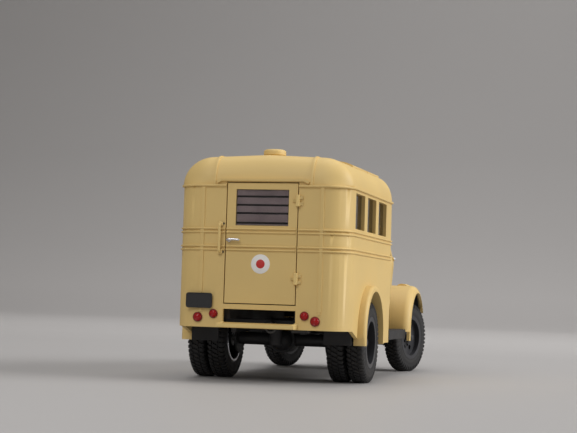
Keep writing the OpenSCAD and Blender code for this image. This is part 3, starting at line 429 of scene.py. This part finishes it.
def make_camera():
    yaw, pitch, roll = (math.radians(a) for a in (CAMERA_YAW, CAMERA_PITCH, CAMERA_ROLL))
    ahead = Vector((math.cos(yaw) * math.cos(pitch), math.sin(yaw) * math.cos(pitch), math.sin(pitch)))
    level = Vector((math.sin(yaw), -math.cos(yaw), 0.0))
    rise = level.cross(ahead)
    right = level * math.cos(roll) + rise * math.sin(roll)
    up = rise * math.cos(roll) - level * math.sin(roll)
    data = bpy.data.cameras.new("camera")
    data.sensor_width = SENSOR
    data.lens = FOCAL_PX / IMAGE_W * SENSOR
    data.clip_start = 0.01
    cam = bpy.data.objects.new("camera", data)
    turn = Matrix((right, up, -ahead)).transposed()
    cam.matrix_world = Matrix.Translation(to_row(CAMERA_AT)) @ turn.to_4x4()
    bpy.context.scene.collection.objects.link(cam)
    bpy.context.scene.camera = cam


make_camera()

# Floor, backdrop and light, in metres
FLOOR_REACH = 6.0
SWEEP_X, SWEEP_R, SWEEP_STEPS, BACKDROP_TOP = 0.9, 0.5, 12, 2.4
FLOOR_GREY = (1.0, 0.967, 0.947)
# share of the grey on the floor near the model and towards the backdrop: painted light, lighter towards the
# backdrop
FLOOR_NEAR, FLOOR_FAR = 0.44, 0.64
# tone of the backdrop, painted light and shade: lighter at its foot, darker upwards. Height and share of
# the grey
BACKDROP_PAINTED_LIGHT = [(0.03, 0.66), (0.09, 0.61), (0.2, 0.55), (0.36, 0.53)]


def make_stage():
    """Pale floor that sweeps up into a grey backdrop ahead of the model; painted light makes the floor
    lighter towards the backdrop and the backdrop lighter at its foot.
    """
    bm = bmesh.new()
    profile = [(-FLOOR_REACH, 0.0), (SWEEP_X, 0.0)]
    for i in range(1, SWEEP_STEPS + 1):
        t = math.radians(90 * i / SWEEP_STEPS)
        profile.append((SWEEP_X + SWEEP_R * math.sin(t), SWEEP_R - SWEEP_R * math.cos(t)))
    profile.append((SWEEP_X + SWEEP_R, BACKDROP_TOP))
    rows = [[bm.verts.new((x, y, z)) for y in (-FLOOR_REACH, FLOOR_REACH)] for x, z in profile]
    for a, b in zip(rows, rows[1:]):
        bm.faces.new((a[0], a[1], b[1], b[0]))
    me = bpy.data.meshes.new("floor")
    bm.to_mesh(me)
    bm.free()
    me.polygons.foreach_set("use_smooth", [True] * len(me.polygons))
    f = Finish("floor_grey")
    axes = f.add("SeparateXYZ", {"Vector": f.coord}).outputs
    near, far = shade(FLOOR_GREY, FLOOR_NEAR), shade(FLOOR_GREY, FLOOR_FAR)
    # painted light: the floor grows lighter towards the backdrop, and the backdrop is lighter at its foot
    # than higher up
    floor = f.mix(f.level(axes["X"], 0.0, 1.0, 0.2, 0.8), near, far)
    stops = [(z, shade(FLOOR_GREY, k)) for z, k in BACKDROP_PAINTED_LIGHT]
    backdrop = f.ramp(f.level(axes["Z"], 0.0, 1.0, 0.0, 1.0), stops)
    tone = f.mix(f.level(axes["Z"], 0.0, 1.0, 0.001, 0.03), floor, backdrop)
    me.materials.append(f.set(Base_Color=tone, Roughness=f.level(f.noise(4, 4), 0.5, 0.6)))
    ob = bpy.data.objects.new("floor", me)
    bpy.context.scene.collection.objects.link(ob)


def area(name, at, look, size, power, spread=180):
    """Soft square lamp; power in watts, places in metres, spread in degrees."""
    data = bpy.data.lights.new(name, "AREA")
    data.shape = "SQUARE"
    data.size, data.energy, data.spread = size, power, math.radians(spread)
    ob = bpy.data.objects.new(name, data)
    ob.location = at
    ob.rotation_euler = (Vector(look) - Vector(at)).to_track_quat("-Z", "Y").to_euler()
    bpy.context.scene.collection.objects.link(ob)


make_stage()
area("key", (0.144, -1.188, 0.648), (-0.05, 0, 0.03), 0.8, 3.9, 90)
area("top", (0.1, 0.0, 0.8), (0, 0, 0), 0.6, 2.2)
area("backdrop", (0.45, 0.0, 0.75), (1.4, 0.0, 0.1), 0.7, 2.4)
area("rear_fill", (-0.66, 0.12, 0.58), (-0.03, 0, 0.03), 0.5, 2.35)
world = bpy.data.worlds.new("studio")
world.use_nodes = True
world.node_tree.nodes["Background"].inputs["Color"].default_value = (0.5, 0.49, 0.485, 1)
world.node_tree.nodes["Background"].inputs["Strength"].default_value = 0.45
bpy.context.scene.world = world
bpy.context.scene.view_settings.view_transform = "Standard"

for name, ob in nodes.items():
    ob.data.materials.clear()
    ob.data.materials.append(M[slot_of[name]])

# Pieces that keep the CAD form, with the edges of a casting or a moulding
HINGE_Z = [26.9, 46.8]


def near_hinge(p):
    """True close to the door's hinges, where the leaves leave no room for a rounded edge."""
    return p.x < REAR + 1.2 and -11.4 < p.y < -7.8 and any(abs(p.z - z) < 1.5 for z in HINGE_Z)


# pieces whose finish is duller than their slot's
WORN = {"exhaust": "worn", "tow_eye": "worn"}
EDGE_OF = {
    "van_walls": 0.07, "van_roof": 0.05, "rear_door": 0.06, "van_floor": 0.05, "van_benches": 0.25,
    "mudflaps": 0.06, "tow_eye": 0.0, "cab_shell": 0.07, "cab_seat": 0.3, "dashboard": 0.15,
    "steering_wheel": 0.0, "bonnet": 0.12, "engine_bay": 0.08, "grille": 0.12, "fender_left": 0.1,
    "fender_right": 0.1, "bumper": 0.2, "running_boards": 0.1, "frame_rails": 0.08, "cross_members": 0.06,
    "rear_springs": 0.0, "front_springs": 0.0, "rear_axle": 0.08, "front_axle": 0.08, "gearbox": 0.2,
    "drive_shaft": 0.06, "fuel_tank": 0.12, "exhaust": 0.05, "knuckle_left": 0.05, "knuckle_right": 0.05,
    "tie_rod": 0.05, "front_rim_left": 0.06, "front_rim_right": 0.06, "axle_rod": 0.05, "rear_rims": 0.06,
    "rear_step": 0.14,
}
for name, edge in EDGE_OF.items():
    dress(name, edge, keep_sharp=near_hinge)

# Tyres
LUGS = 50
MIDDLE_SHIFT = 0.74
# turn of the tyres on their axles, so that their lugs don't line up
FRONT_TURN, TWIN_TURN = 0.02, 0.031
# one lug along the circumference: share of the pitch, and whether the place is on the lug
LUG_STEPS = [(0.00, 0), (0.09, 1), (0.57, 1), (0.66, 0)]
# half section from the bead to the middle: radius, half width, depth of the gaps inwards and
# sideways, shift along the circumference
TYRE_SECTION = [
    (6.40, 1.75, 0, 0, 0), (6.50, 2.08, 0, 0, 0), (6.85, 2.24, 0, 0, 0), (7.15, 2.18, 0, 0, 0),
    (7.45, 2.30, 0, 0, 0), (8.30, 2.39, 0, 0, 0), (8.45, 2.33, 0, 0, 0), (9.15, 2.34, 0, 0, 0),
    (9.45, 2.38, 0.0, 0.22, 0), (10.10, 2.34, 0.1, 0.30, 0), (10.55, 2.12, 0.3, 0.20, 0),
    (10.78, 1.75, 0.45, 0.0, 0), (10.80, 1.02, 0.45, 0.0, 0.18), (10.38, 0.92, 0, 0, 0.25),
    (10.38, 0.74, 0, 0, 0.4), (10.80, 0.66, 0.42, 0.0, 0.5), (10.80, 0.0, 0.42, 0.0, MIDDLE_SHIFT),
]


def tyre(bm, m, turn=0.0):
    """Tyre round local Y with a row of lugs on each shoulder and a slanted row in the middle."""
    mirrored = [(r, -w, dr, -dw, 2 * MIDDLE_SHIFT - s) for r, w, dr, dw, s in reversed(TYRE_SECTION[:-1])]
    rings = []
    for r, w, dr, dw, shift in TYRE_SECTION + mirrored:
        ring = []
        for i in range(LUGS):
            for share, top in LUG_STEPS:
                a = 2 * math.pi * (i + share + shift) / LUGS + turn
                rad = r if top else r - dr
                side = w if top else w - dw
                ring.append(bm.verts.new(m @ Vector((rad * math.cos(a), side, rad * math.sin(a)))))
        rings.append(ring)
    rings.append(rings[0])
    skin(bm, rings)


def wheel_matrix(side):
    """Place of a front wheel: out from its kingpin, turned as parked."""
    pin = Matrix.Translation((WHEELBASE, side * KINGPIN_Y, AXLE_Z))
    return pin @ Matrix.Rotation(STEER, 4, "Z") @ Matrix.Translation((0, side * WHEEL_OUT, 0))


SIDES = {"left": 1, "right": -1}
for tag, side in SIDES.items():
    bm = bmesh.new()
    tyre(bm, wheel_matrix(side), FRONT_TURN * side)
    node = "front_tyre_" + tag
    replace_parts(piece(bm, node + "_lugged", M["tyre"], body_of[node], 40, False), node)
bm = bmesh.new()
for i, y in enumerate([-TWIN_Y[1], -TWIN_Y[0], TWIN_Y[0], TWIN_Y[1]]):
    tyre(bm, Matrix.Translation((0, y, AXLE_Z)), TWIN_TURN * i)
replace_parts(piece(bm, "rear_tyres_lugged", M["tyre"], "rear_wheels", 40, False), "rear_tyres")

# Wheel nuts, hub caps and the bright bead rings on the inner rear rims
NUT = [(0.0, 0.62), (0.2, 0.62), (0.36, 0.5), (0.36, 0.0)]
FRONT_NUTS_R, REAR_NUTS_R = 2.35, 2.9


def nuts(bm, m, radius, face, count=6, start=30):
    """Ring of six-sided wheel nuts on a disc whose outward side is local +Y."""
    for i in range(count):
        a = math.radians(start + 360 * i / count)
        at = m @ Vector((radius * math.cos(a), face, radius * math.sin(a)))
        out = (m.to_3x3() @ Vector((0, 1, 0))).normalized()
        revolve(bm, NUT, at, out, 6)


def facing(side):
    """Turn that points local +Y outwards on a side."""
    return Matrix.Identity(4) if side > 0 else Matrix.Rotation(math.pi, 4, "Z")


DISC_FACE, HUB_REACH = 0.8, 1.5
HUB_CAP = [(0.0, 0.42), (0.5, 0.4), (0.85, 0.25), (1.0, 0.0), (1.0, -0.3)]
for tag, side in SIDES.items():
    bm = bmesh.new()
    m = wheel_matrix(side) @ facing(side)
    nuts(bm, m, FRONT_NUTS_R, DISC_FACE)
    out = (m.to_3x3() @ Vector((0, 1, 0))).normalized()
    revolve(bm, HUB_CAP, m @ Vector((0, DISC_FACE + HUB_REACH, 0)), out, 24)
    piece(bm, "front_nuts_" + tag, M["rim"], "wheel_front_" + tag)
REAR_DISC = TWIN_Y[1] - 2.3 + 0.5
REAR_CAP = [(0.0, 0.5), (0.7, 0.45), (1.2, 0.2), (1.3, 0.0), (1.3, -0.2)]
bm = bmesh.new()
for side in SIDES.values():
    nuts(bm, Matrix.Translation((0, 0, AXLE_Z)) @ facing(side), REAR_NUTS_R, REAR_DISC)
    revolve(bm, REAR_CAP, (0, side * (TWIN_Y[1] + 0.9), AXLE_Z), (0, side, 0), 24)
piece(bm, "rear_nuts", M["rim"], "rear_wheels")
# section of a bead ring: radius and distance outwards
BEAD_RING = [(5.85, 0.0), (6.0, 0.16), (6.35, 0.2), (6.62, 0.1), (6.62, -0.1), (5.85, -0.1)]
BEAD_STEPS = 64
bm = bmesh.new()
for side in SIDES.values():
    m = place((0, side * (TWIN_Y[0] - 2.32), AXLE_Z), (0, -side, 0))
    rings = []
    for r, h in BEAD_RING:
        rings.append([bm.verts.new(m @ Vector((r * math.cos(a), r * math.sin(a), h)))
                      for a in (2 * math.pi * i / BEAD_STEPS for i in range(BEAD_STEPS))])
    skin(bm, rings + rings[:1])
piece(bm, "bead_rings", M["bright"], "rear_wheels")

# Rear wall: lamps, plate, door lever, grab bar, strips, step studs and the plain roundel
# lamps: place across, height and radius
LAMPS = [(16.3, 16.5, 1.25), (12.1, 17.5, 1.15), (-12.0, 17.6, 1.15), (-14.8, 16.3, 1.25)]
# ribbed front of a lens: share of the lamp's radius and distance out
LENS_RIBS = [(0.72, 0.64), (0.66, 0.6), (0.6, 0.7), (0.5, 0.74), (0.44, 0.69), (0.36, 0.78), (0.18, 0.84),
             (0, 0.86)]
OUT = (-1, 0, 0)
base, lens = bmesh.new(), bmesh.new()
for y, z, r in LAMPS:
    rim = [(0, 0.0), (r, 0.0), (r, 0.34), (r - 0.08, 0.42), (r - 0.2, 0.4), (r - 0.2, 0.3), (0, 0.3)]
    revolve(base, rim, (REAR, y, z), OUT, 36)
    dome = [(0, 0.3), (r - 0.21, 0.3), (r - 0.22, 0.5)]
    dome += [(share * r, h) for share, h in LENS_RIBS]
    revolve(lens, dome, (REAR, y, z), OUT, 36)
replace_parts(piece(lens, "tail_lamp_lenses", M["lamp_red"], "body", 50), "tail_lamps")
piece(base, "tail_lamp_bases", M["lamp_dark"], "body")

PLATE_MID, PLATE_HALF, PLATE_R = (15.9, 20.8), (3.5, 1.95), 0.65
PLATE_X = [REAR - 0.9, REAR - 0.5]


def plate_ring(x, inset):
    outline = rounded_outline(PLATE_HALF[0] - inset, PLATE_HALF[1] - inset, PLATE_R - inset * 0.6)
    return [(x, PLATE_MID[0] + a, PLATE_MID[1] + b) for a, b in outline]


bm = bmesh.new()
front, back = PLATE_X
# from the wall outwards: place along X and how far the outline is drawn in
sections = [(back, 0.06), (back - 0.06, 0.0), (front + 0.06, 0.0), (front, 0.06), (front, 0.2),
            (front + 0.08, 0.27)]
stack(bm, [plate_ring(x, inset) for x, inset in sections])
slab(bm, [back - 0.02, REAR - 0.2], [PLATE_MID[0] - 2.6, PLATE_MID[0] + 0.2],
     [PLATE_MID[1] - 1, PLATE_MID[1] + 1])
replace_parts(piece(bm, "number_plate_blank", M["black"], "body", 28), "number_plate")

HANDLE_Y, HANDLE_Z = [9.0, 5.6], 36.5
LEVER_ROSE = [(0.0, 0.0), (0.62, 0.0), (0.62, 0.12), (0.5, 0.22), (0.36, 0.3), (0.34, 0.95), (0.2, 1.12),
              (0.0, 1.15)]
# along the lever: share of its length and radius
LEVER_RADII = [(0.0, 0.3), (0.1, 0.42), (0.25, 0.4), (0.45, 0.34), (0.65, 0.3), (0.85, 0.3), (1.0, 0.24)]
bm = bmesh.new()
revolve(bm, LEVER_ROSE, (REAR, HANDLE_Y[0] - 0.4, HANDLE_Z), OUT, 24)
lever = []
for t, _ in LEVER_RADII:
    across = HANDLE_Y[0] - t * (HANDLE_Y[0] - HANDLE_Y[1])
    lever.append((REAR - 0.9, across, HANDLE_Z + 0.14 * math.sin(math.pi * t)))
tube(bm, lever, [r for _, r in LEVER_RADII], 14)
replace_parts(piece(bm, "rear_door_lever", M["bright"], "rear_door", 50), "rear_door_handle")

GRAB_Y, GRAB_Z, GRAB_OFF, GRAB_R = 10.9, [33.4, 40.6], 1.1, 0.36
bm = bmesh.new()
turn_r = 0.55
path = [(REAR, GRAB_Y, GRAB_Z[0])]
path += arc((REAR - GRAB_OFF + turn_r, GRAB_Y, GRAB_Z[0] + turn_r), (-turn_r, 0, 0), (0, 0, -turn_r), 90, 0)
path += arc((REAR - GRAB_OFF + turn_r, GRAB_Y, GRAB_Z[1] - turn_r), (-turn_r, 0, 0), (0, 0, turn_r), 0, 90)
path.append((REAR, GRAB_Y, GRAB_Z[1]))
tube(bm, path, GRAB_R, 14)
GRAB_FOOT = [(0, 0.02), (0.7, 0.02), (0.7, 0.14), (0.55, 0.22), (0, 0.22)]
for z in GRAB_Z:
    revolve(bm, GRAB_FOOT, (REAR - 0.28, GRAB_Y, z), OUT, 20)
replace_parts(piece(bm, "grab_bar", M["cream"], "body", 50), "grab_handle")

STRIP_Y, STRIP_HALF, STRIP_OUT = 15.8, 0.52, 0.27
STRIP_LOW = {"left": 22.9, "right": 18.6}
GUTTER_Z = 50.8
bm = bmesh.new()
for tag, side in SIDES.items():
    slab(bm, [REAR - STRIP_OUT, REAR + 0.1], [side * STRIP_Y - STRIP_HALF, side * STRIP_Y + STRIP_HALF],
         [STRIP_LOW[tag], GUTTER_Z - 0.3], 0.2)
piece(bm, "rear_strips", M["paint"], "body")

# dark discs beside the grab bar's feet: painted shade under the bar's standoffs
GRAB_SHADE_SPOT = [(0.26, -0.1), (0.26, 0.14), (0.2, 0.2), (0, 0.22)]
bm = bmesh.new()
for z, lift in zip(GRAB_Z, (-0.02, 0.12)):
    revolve(bm, GRAB_SHADE_SPOT, (REAR, GRAB_Y - 0.8, z + lift), OUT, 16)
piece(bm, "grab_bar_shade_spots", M["dark"], "body")

STUD = [(0.62, -0.3), (0.62, 0.12), (0.5, 0.26), (0.25, 0.34), (0, 0.36)]
STUD_Y, STUD_Z, STEP_TOP = 9.7, 15.05, 15.24
bm = bmesh.new()
for side in SIDES.values():
    revolve(bm, STUD, (REAR - 0.28, side * STUD_Y, STUD_Z), OUT, 20)
    for x in (REAR - 1.2, REAR - 3.0):
        screw(bm, (x, side * STUD_Y, STEP_TOP), (0, 0, 1), 0.24)
piece(bm, "step_studs", M["cream"], "body")

ROUNDEL_Z, ROUNDEL_R, ROUNDEL_CORE = 30.5, 2.48, 1.15
bm = bmesh.new()
revolve(bm, [(0, -0.02), (ROUNDEL_R, -0.02), (ROUNDEL_R, 0.03), (ROUNDEL_R - 0.05, 0.06), (0, 0.06)],
        (REAR, 0, ROUNDEL_Z), OUT, 64)
piece(bm, "roundel_field", M["white"], "rear_door")
bm = bmesh.new()
revolve(bm, [(0, 0.04), (ROUNDEL_CORE, 0.04), (ROUNDEL_CORE, 0.08), (ROUNDEL_CORE - 0.04, 0.1), (0, 0.1)],
        (REAR, 0, ROUNDEL_Z), OUT, 48)
piece(bm, "roundel_core", M["red"], "rear_door")

# Belt lines and gutter as smooth beads round the van
CORNER_R, FRONT_CORNER_R, CORNER_STEPS = 6.5, 3.0, 16
DOOR_HALF, DOOR_BELT_HALF = 9.75, 9.1
BELT_Z = [39.4, 38.5, 34.9, 34.0]
# section of a bead: share of its reach and share of its half height
BEAD = [(-0.3, -1), (0.1, -1), (0.7, -0.8), (1, -0.35), (1, 0.35), (0.7, 0.8), (0.1, 1), (-0.3, 1)]
BELT_OUT, BELT_HALF = 0.38, 0.26
GUTTER_OUT, GUTTER_HALF = 0.52, 0.3


def van_outline():
    """Places and outward directions round the van from the door's left edge to its right edge."""
    out = [((REAR, DOOR_HALF), (-1, 0))]
    rear_x, front_x = REAR + CORNER_R, VAN_FRONT - FRONT_CORNER_R
    corners = [
        (rear_x, VAN_HALF - CORNER_R, CORNER_R, 180),
        (front_x, VAN_HALF - FRONT_CORNER_R, FRONT_CORNER_R, 90),
        (front_x, FRONT_CORNER_R - VAN_HALF, FRONT_CORNER_R, 0),
        (rear_x, CORNER_R - VAN_HALF, CORNER_R, -90),
    ]
    for x, y, r, start in corners:
        for i in range(CORNER_STEPS + 1):
            t = math.radians(start - 90 * i / CORNER_STEPS)
            n = (math.cos(t), math.sin(t))
            out.append(((x + r * n[0], y + r * n[1]), n))
    return out + [((REAR, -DOOR_HALF - 0.2), (-1, 0))]


def bead(bm, outline, z, reach, half_h):
    """Raised line that follows an outline at one height."""
    stack(bm, [[(p[0] + n[0] * reach * o, p[1] + n[1] * reach * o, z + half_h * u) for o, u in BEAD]
               for p, n in outline])


bm = bmesh.new()
for z in BELT_Z:
    bead(bm, van_outline(), z, BELT_OUT, BELT_HALF)
bead(bm, van_outline(), GUTTER_Z - 0.25, GUTTER_OUT, GUTTER_HALF)
piece(bm, "van_belts", M["paint"], "body", 60)
door_outline = [((REAR, DOOR_BELT_HALF), (-1, 0)), ((REAR, -DOOR_BELT_HALF), (-1, 0))]
bm = bmesh.new()
for z in BELT_Z:
    bead(bm, door_outline, z, BELT_OUT, BELT_HALF)
piece(bm, "door_belts", M["paint"], "rear_door", 60)

# Roof ventilator with a rolled cap
VENT_X = -15.5
VENT_PROFILE = [(0, -0.4), (2.7, -0.4), (2.7, 0.35), (2.95, 0.5), (2.95, 1.3), (2.86, 1.62), (2.6, 1.86),
                (2.2, 1.95), (1.75, 1.94), (1.6, 1.88), (0, 1.9)]
bm = bmesh.new()
revolve(bm, [(r, ROOF_TOP + h) for r, h in VENT_PROFILE], (VENT_X, 0, 0), (0, 0, 1), 64)
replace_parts(piece(bm, "roof_vent_cap", M["paint"], "body", 40), "roof_vent")

# Bonnet louvres, centre hinge and catches
LOUVRES, LOUVRE_START, LOUVRE_PITCH, LOUVRE_Z = 13, 6.2, 1.55, [26.4, 29.4]
RIDGE_START, RIDGE_LEN, RIDGE_STEPS = 0.6, 32.0, 14
CATCH_Z, CATCH_HALF = 25.9, Vector((0.7, 0, 0))
# starting places of the lines that look for the bonnet's skin
BESIDE, ABOVE = 30, 60
bonnet_skin = surface("bonnet")
bm = bmesh.new()
for side in SIDES.values():
    for i in range(LOUVRES):
        x = CAB_FRONT + LOUVRE_START + i * LOUVRE_PITCH
        foot, _ = hit(bonnet_skin, (x, side * BESIDE, LOUVRE_Z[0]), (0, -side, 0))
        head, normal = hit(bonnet_skin, (x, side * BESIDE, LOUVRE_Z[1]), (0, -side, 0))
        swell = [foot.lerp(head, k) + normal * 0.12 for k in (0.25, 0.75)]
        tube(bm, [foot + normal * 0.02, *swell, head + normal * 0.02], [0.2, 0.32, 0.32, 0.2], 10)
piece(bm, "bonnet_louvres", M["paint"], "body", 60)
bm = bmesh.new()
ridge = []
for i in range(RIDGE_STEPS + 1):
    x = CAB_FRONT + RIDGE_START + i * (RIDGE_LEN / RIDGE_STEPS)
    top, _ = hit(bonnet_skin, (x, 0, ABOVE), (0, 0, -1))
    ridge.append(top + Vector((0, 0, 0.02)))
tube(bm, ridge, 0.22, 12)
for side in SIDES.values():
    for x in (CAB_FRONT + 4.0, CAB_FRONT + 27.5):
        at, normal = hit(bonnet_skin, (x, side * BESIDE, CATCH_Z), (0, -side, 0))
        low = at + normal * 0.1
        tube(bm, [low - CATCH_HALF, at + normal * 0.28, low + CATCH_HALF], [0.16, 0.24, 0.16], 10)
piece(bm, "bonnet_trim", M["paint"], "body", 60)

# Grille core, headlamps, bumper bolts and filler cap
NOSE_X = WHEELBASE + 13.8
SLOTS, SLOT_SHARE, SLOT_FRAME, SLOT_DEPTH = 7, 0.55, 1.2, 0.9
SLOT_HALF, TOP_SLOT_HALF = 6.8, 5.4
CORE_PITCH, CORE_HALF = 0.98, 0.09
FILLER = [(0, -0.2), (0.75, -0.2), (0.75, 0.25), (0.95, 0.35), (0.95, 0.7), (0.7, 0.9), (0.3, 1.0),
          (0, 1.02)]
grille_lo, grille_hi = mm_box("grille")
pitch = (grille_hi.z - grille_lo.z - SLOT_FRAME) / SLOTS
bm = bmesh.new()
for i in range(SLOTS):
    low = grille_lo.z + SLOT_FRAME + i * pitch
    half = TOP_SLOT_HALF if i == SLOTS - 1 else SLOT_HALF
    tall = [low, low + SLOT_SHARE * pitch]
    back = grille_hi.x - SLOT_DEPTH
    slab(bm, [back - 0.05, back + 0.08], [-half, half], tall, 0.03)
    for k in range(-6, 7):
        y = k * CORE_PITCH
        if abs(y) < half - 0.3:
            slab(bm, [back, back + 0.3], [y - CORE_HALF, y + CORE_HALF], tall, 0.03)
piece(bm, "grille_core", M["gap"], "body")
bm = bmesh.new()
top, _ = hit(bonnet_skin, (NOSE_X - 3.0, 0, ABOVE), (0, 0, -1))
revolve(bm, FILLER, top, (0, 0, 1), 24)
piece(bm, "filler_cap", M["bright"], "body")
BOLT = [(0.62, -0.1), (0.62, 0.1), (0.45, 0.32), (0.2, 0.4), (0, 0.42)]
bumper_lo, bumper_hi = mm_box("bumper")
bm = bmesh.new()
for y in (-16.5, -6.5, 6.5, 16.5):
    revolve(bm, BOLT, (bumper_hi.x - 0.05, y, (bumper_lo.z + bumper_hi.z) / 2), (1, 0, 0), 20)
piece(bm, "bumper_bolts", M["steel"], "body")
lens_lo, lens_hi = mm_box("headlamp_lenses")
POD_Z, POD_Y, POD_R = (lens_lo.z + lens_hi.z) / 2, 17.4, 2.2
POD_GLASS = [(0, 0.0), (POD_R, 0.0), (POD_R, 0.3), (1.9, 0.62), (1.3, 0.92), (0.6, 1.06), (0, 1.1)]
POD_RIM = [(2.2, 0.3), (2.24, 0.72), (2.45, 0.88), (2.66, 0.78), (2.74, 0.5), (2.74, 0.0), (2.2, 0.0)]
bm, ring = bmesh.new(), bmesh.new()
for side in SIDES.values():
    at = (lens_lo.x, side * POD_Y, POD_Z)
    revolve(bm, POD_GLASS, at, (1, 0, 0), 40)
    revolve(ring, POD_RIM, at, (1, 0, 0), 40)
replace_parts(piece(bm, "headlamp_glasses", M["glass"], "body", 50), "headlamp_lenses")
piece(ring, "headlamp_rims", M["bright"], "body", 50)

# Cab: door levers, wipers and small side lamps
cab_skin = surface("cab_shell")
CAB_BELT = 33.0
SCREEN_TOP, SCREEN_LEAN = 45.3, math.radians(15.4)
# starting places of the lines that look for the cab's skin
CAB_BESIDE, CAB_AHEAD = 40, 90
LEVER_BOSS = [(0.42, -0.05), (0.42, 0.12), (0.24, 0.2), (0.22, 0.6), (0, 0.62)]
WIPER_BOSS = [(0.34, -0.1), (0.34, 0.2), (0.2, 0.3), (0, 0.32)]
LAMP_FOOT = [(0.62, -0.2), (0.62, 0.2), (0.5, 0.4), (0, 0.4)]
LAMP_FRONT = [(0.46, 0.3), (0.46, 0.5), (0.36, 0.68), (0.18, 0.78), (0, 0.8)]
down = Vector((math.sin(SCREEN_LEAN), 0, -math.cos(SCREEN_LEAN)))
lift = Vector((math.cos(SCREEN_LEAN), 0, math.sin(SCREEN_LEAN)))
levers, wipers, lamps, lamp_feet = bmesh.new(), bmesh.new(), bmesh.new(), bmesh.new()
for side in SIDES.values():
    at, normal = hit(cab_skin, (CAB_BACK + 7.6, side * CAB_BESIDE, CAB_BELT - 1.4), (0, -side, 0))
    revolve(levers, LEVER_BOSS, at, normal, 18)
    tube(levers, [at + normal * 0.55 + Vector((0.2, 0, 0)), at + normal * 0.62 + Vector((-1.0, 0, 0.05)),
                  at + normal * 0.5 + Vector((-2.1, 0, 0))], [0.2, 0.24, 0.17], 12)
    at, normal = hit(cab_skin, (CAB_AHEAD, side * 5.2, SCREEN_TOP), (-1, 0, 0))
    revolve(wipers, WIPER_BOSS, at, normal, 14)
    tip = at + down * 4.6 + Vector((0, side * 1.6, 0)) - lift * 0.1
    tube(wipers, [at + normal * 0.22, at.lerp(tip, 0.5) + lift * 0.3, tip + lift * 0.1], 0.11, 8)
    along = down * 2.4 + Vector((0, -side * 0.5, 0))
    tube(wipers, [tip - along, tip + along * 0.45], 0.13, 8)
    at, normal = hit(cab_skin, (CAB_FRONT - 2.9, side * CAB_BESIDE, CAB_BELT + 1.9), (0, -side, 0))
    revolve(lamp_feet, LAMP_FOOT, at, normal, 20)
    revolve(lamps, LAMP_FRONT, at, normal, 20)
piece(levers, "cab_door_levers", M["bright"], "body", 50)
piece(wipers, "wipers", M["black"], "body", 50)
piece(lamp_feet, "side_lamp_feet", M["paint"], "body")
piece(lamps, "side_lamps", M["bright"], "body", 50)

# Black liners under the front fenders, which paint the shade on the fenders' undersides, and a black sheet
# below the van's front wall, which paints the shade seen through the slot under the door
LINER_R, LINER_IN, LINER_Y, FENDER_Z = 13.45, 13.45 - 0.22, [13.6, 22.7], 12.8
LINER_START, LINER_SPAN, LINER_STEPS = 31, 115, 32
LINER_SECTION = [(LINER_R, LINER_Y[0]), (LINER_R, LINER_Y[1]), (LINER_IN, LINER_Y[1]),
                 (LINER_IN, LINER_Y[0])]
bm = bmesh.new()
for side in SIDES.values():
    rings = []
    for i in range(LINER_STEPS + 1):
        t = math.radians(LINER_START + LINER_SPAN * i / LINER_STEPS)
        rings.append([(WHEELBASE + r * math.cos(t), side * y, FENDER_Z + r * math.sin(t))
                      for r, y in LINER_SECTION])
    stack(bm, rings)
piece(bm, "fender_shade_liners", M["gap"], "body")
RAIL_TOP = mm_box("frame_rails")[1].z
FLOOR_LOW, VAN_WALL, SHADE_SHEET_HALF = 18.9, 1.0, 18.5
# black sheet below the van's front wall: painted shade seen through the slot under the door
bm = bmesh.new()
inside = VAN_FRONT - VAN_WALL
slab(bm, [inside - 0.13, inside + 0.02], [-SHADE_SHEET_HALF, SHADE_SHEET_HALF],
     [RAIL_TOP + 0.3, FLOOR_LOW - 0.02], 0.05)
piece(bm, "front_wall_shade_sheet", M["gap"], "body")

# Blind behind the door's window: slats, and a black backing that paints the shade in the gaps between them
BLIND_GAPS, GAP_HALF, BACKING = [41.0, 43.5, 45.6, 47.8], 0.26, 0.12
blind_lo, blind_hi = mm_box("rear_blind")
levels = [blind_lo.z - GAP_HALF] + BLIND_GAPS + [blind_hi.z + GAP_HALF]
bm = bmesh.new()
for low, high in zip(levels, levels[1:]):
    slab(bm, [blind_lo.x, blind_hi.x - BACKING], [blind_lo.y, blind_hi.y],
         [low + GAP_HALF, high - GAP_HALF], 0.12)
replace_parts(piece(bm, "rear_blind_slats", M["blind"], body_of["rear_blind"]), "rear_blind")
# black sheet behind the slats: painted shade in the gaps
bm = bmesh.new()
slab(bm, [blind_hi.x - BACKING - 0.02, blind_hi.x], [blind_lo.y, blind_hi.y],
     [blind_lo.z, blind_hi.z], 0.03)
piece(bm, "rear_blind_shade_backing", M["gap"], body_of["rear_blind"])

# Barrels over the door's hinges, round their axis
HINGE_X, HINGE_Y = REAR - 0.5, -9.5
HINGE_BARREL = [(0, -1.5), (0.48, -1.5), (0.6, -1.36), (0.6, 1.36), (0.48, 1.5), (0, 1.5)]
bm = bmesh.new()
for z in HINGE_Z:
    revolve(bm, HINGE_BARREL, (HINGE_X, HINGE_Y, z), (0, 0, 1), 28)
piece(bm, "hinge_barrels", M["cream"], "body")

# Ribs on the running boards
RIBS, RIB_EDGE, RIB_PITCH, RIB_HALF = 5, 0.7, 0.72, 0.12
board_lo, board_hi = mm_box("running_boards")
bm = bmesh.new()
for side in SIDES.values():
    for k in range(RIBS):
        y = board_hi.y - RIB_EDGE - k * RIB_PITCH
        ends = sorted([side * (y - RIB_HALF), side * (y + RIB_HALF)])
        slab(bm, [board_lo.x + 0.6, board_hi.x - 0.8], ends, [board_hi.z - 0.05, board_hi.z + 0.12], 0.05)
piece(bm, "board_ribs", M["black"], "body")
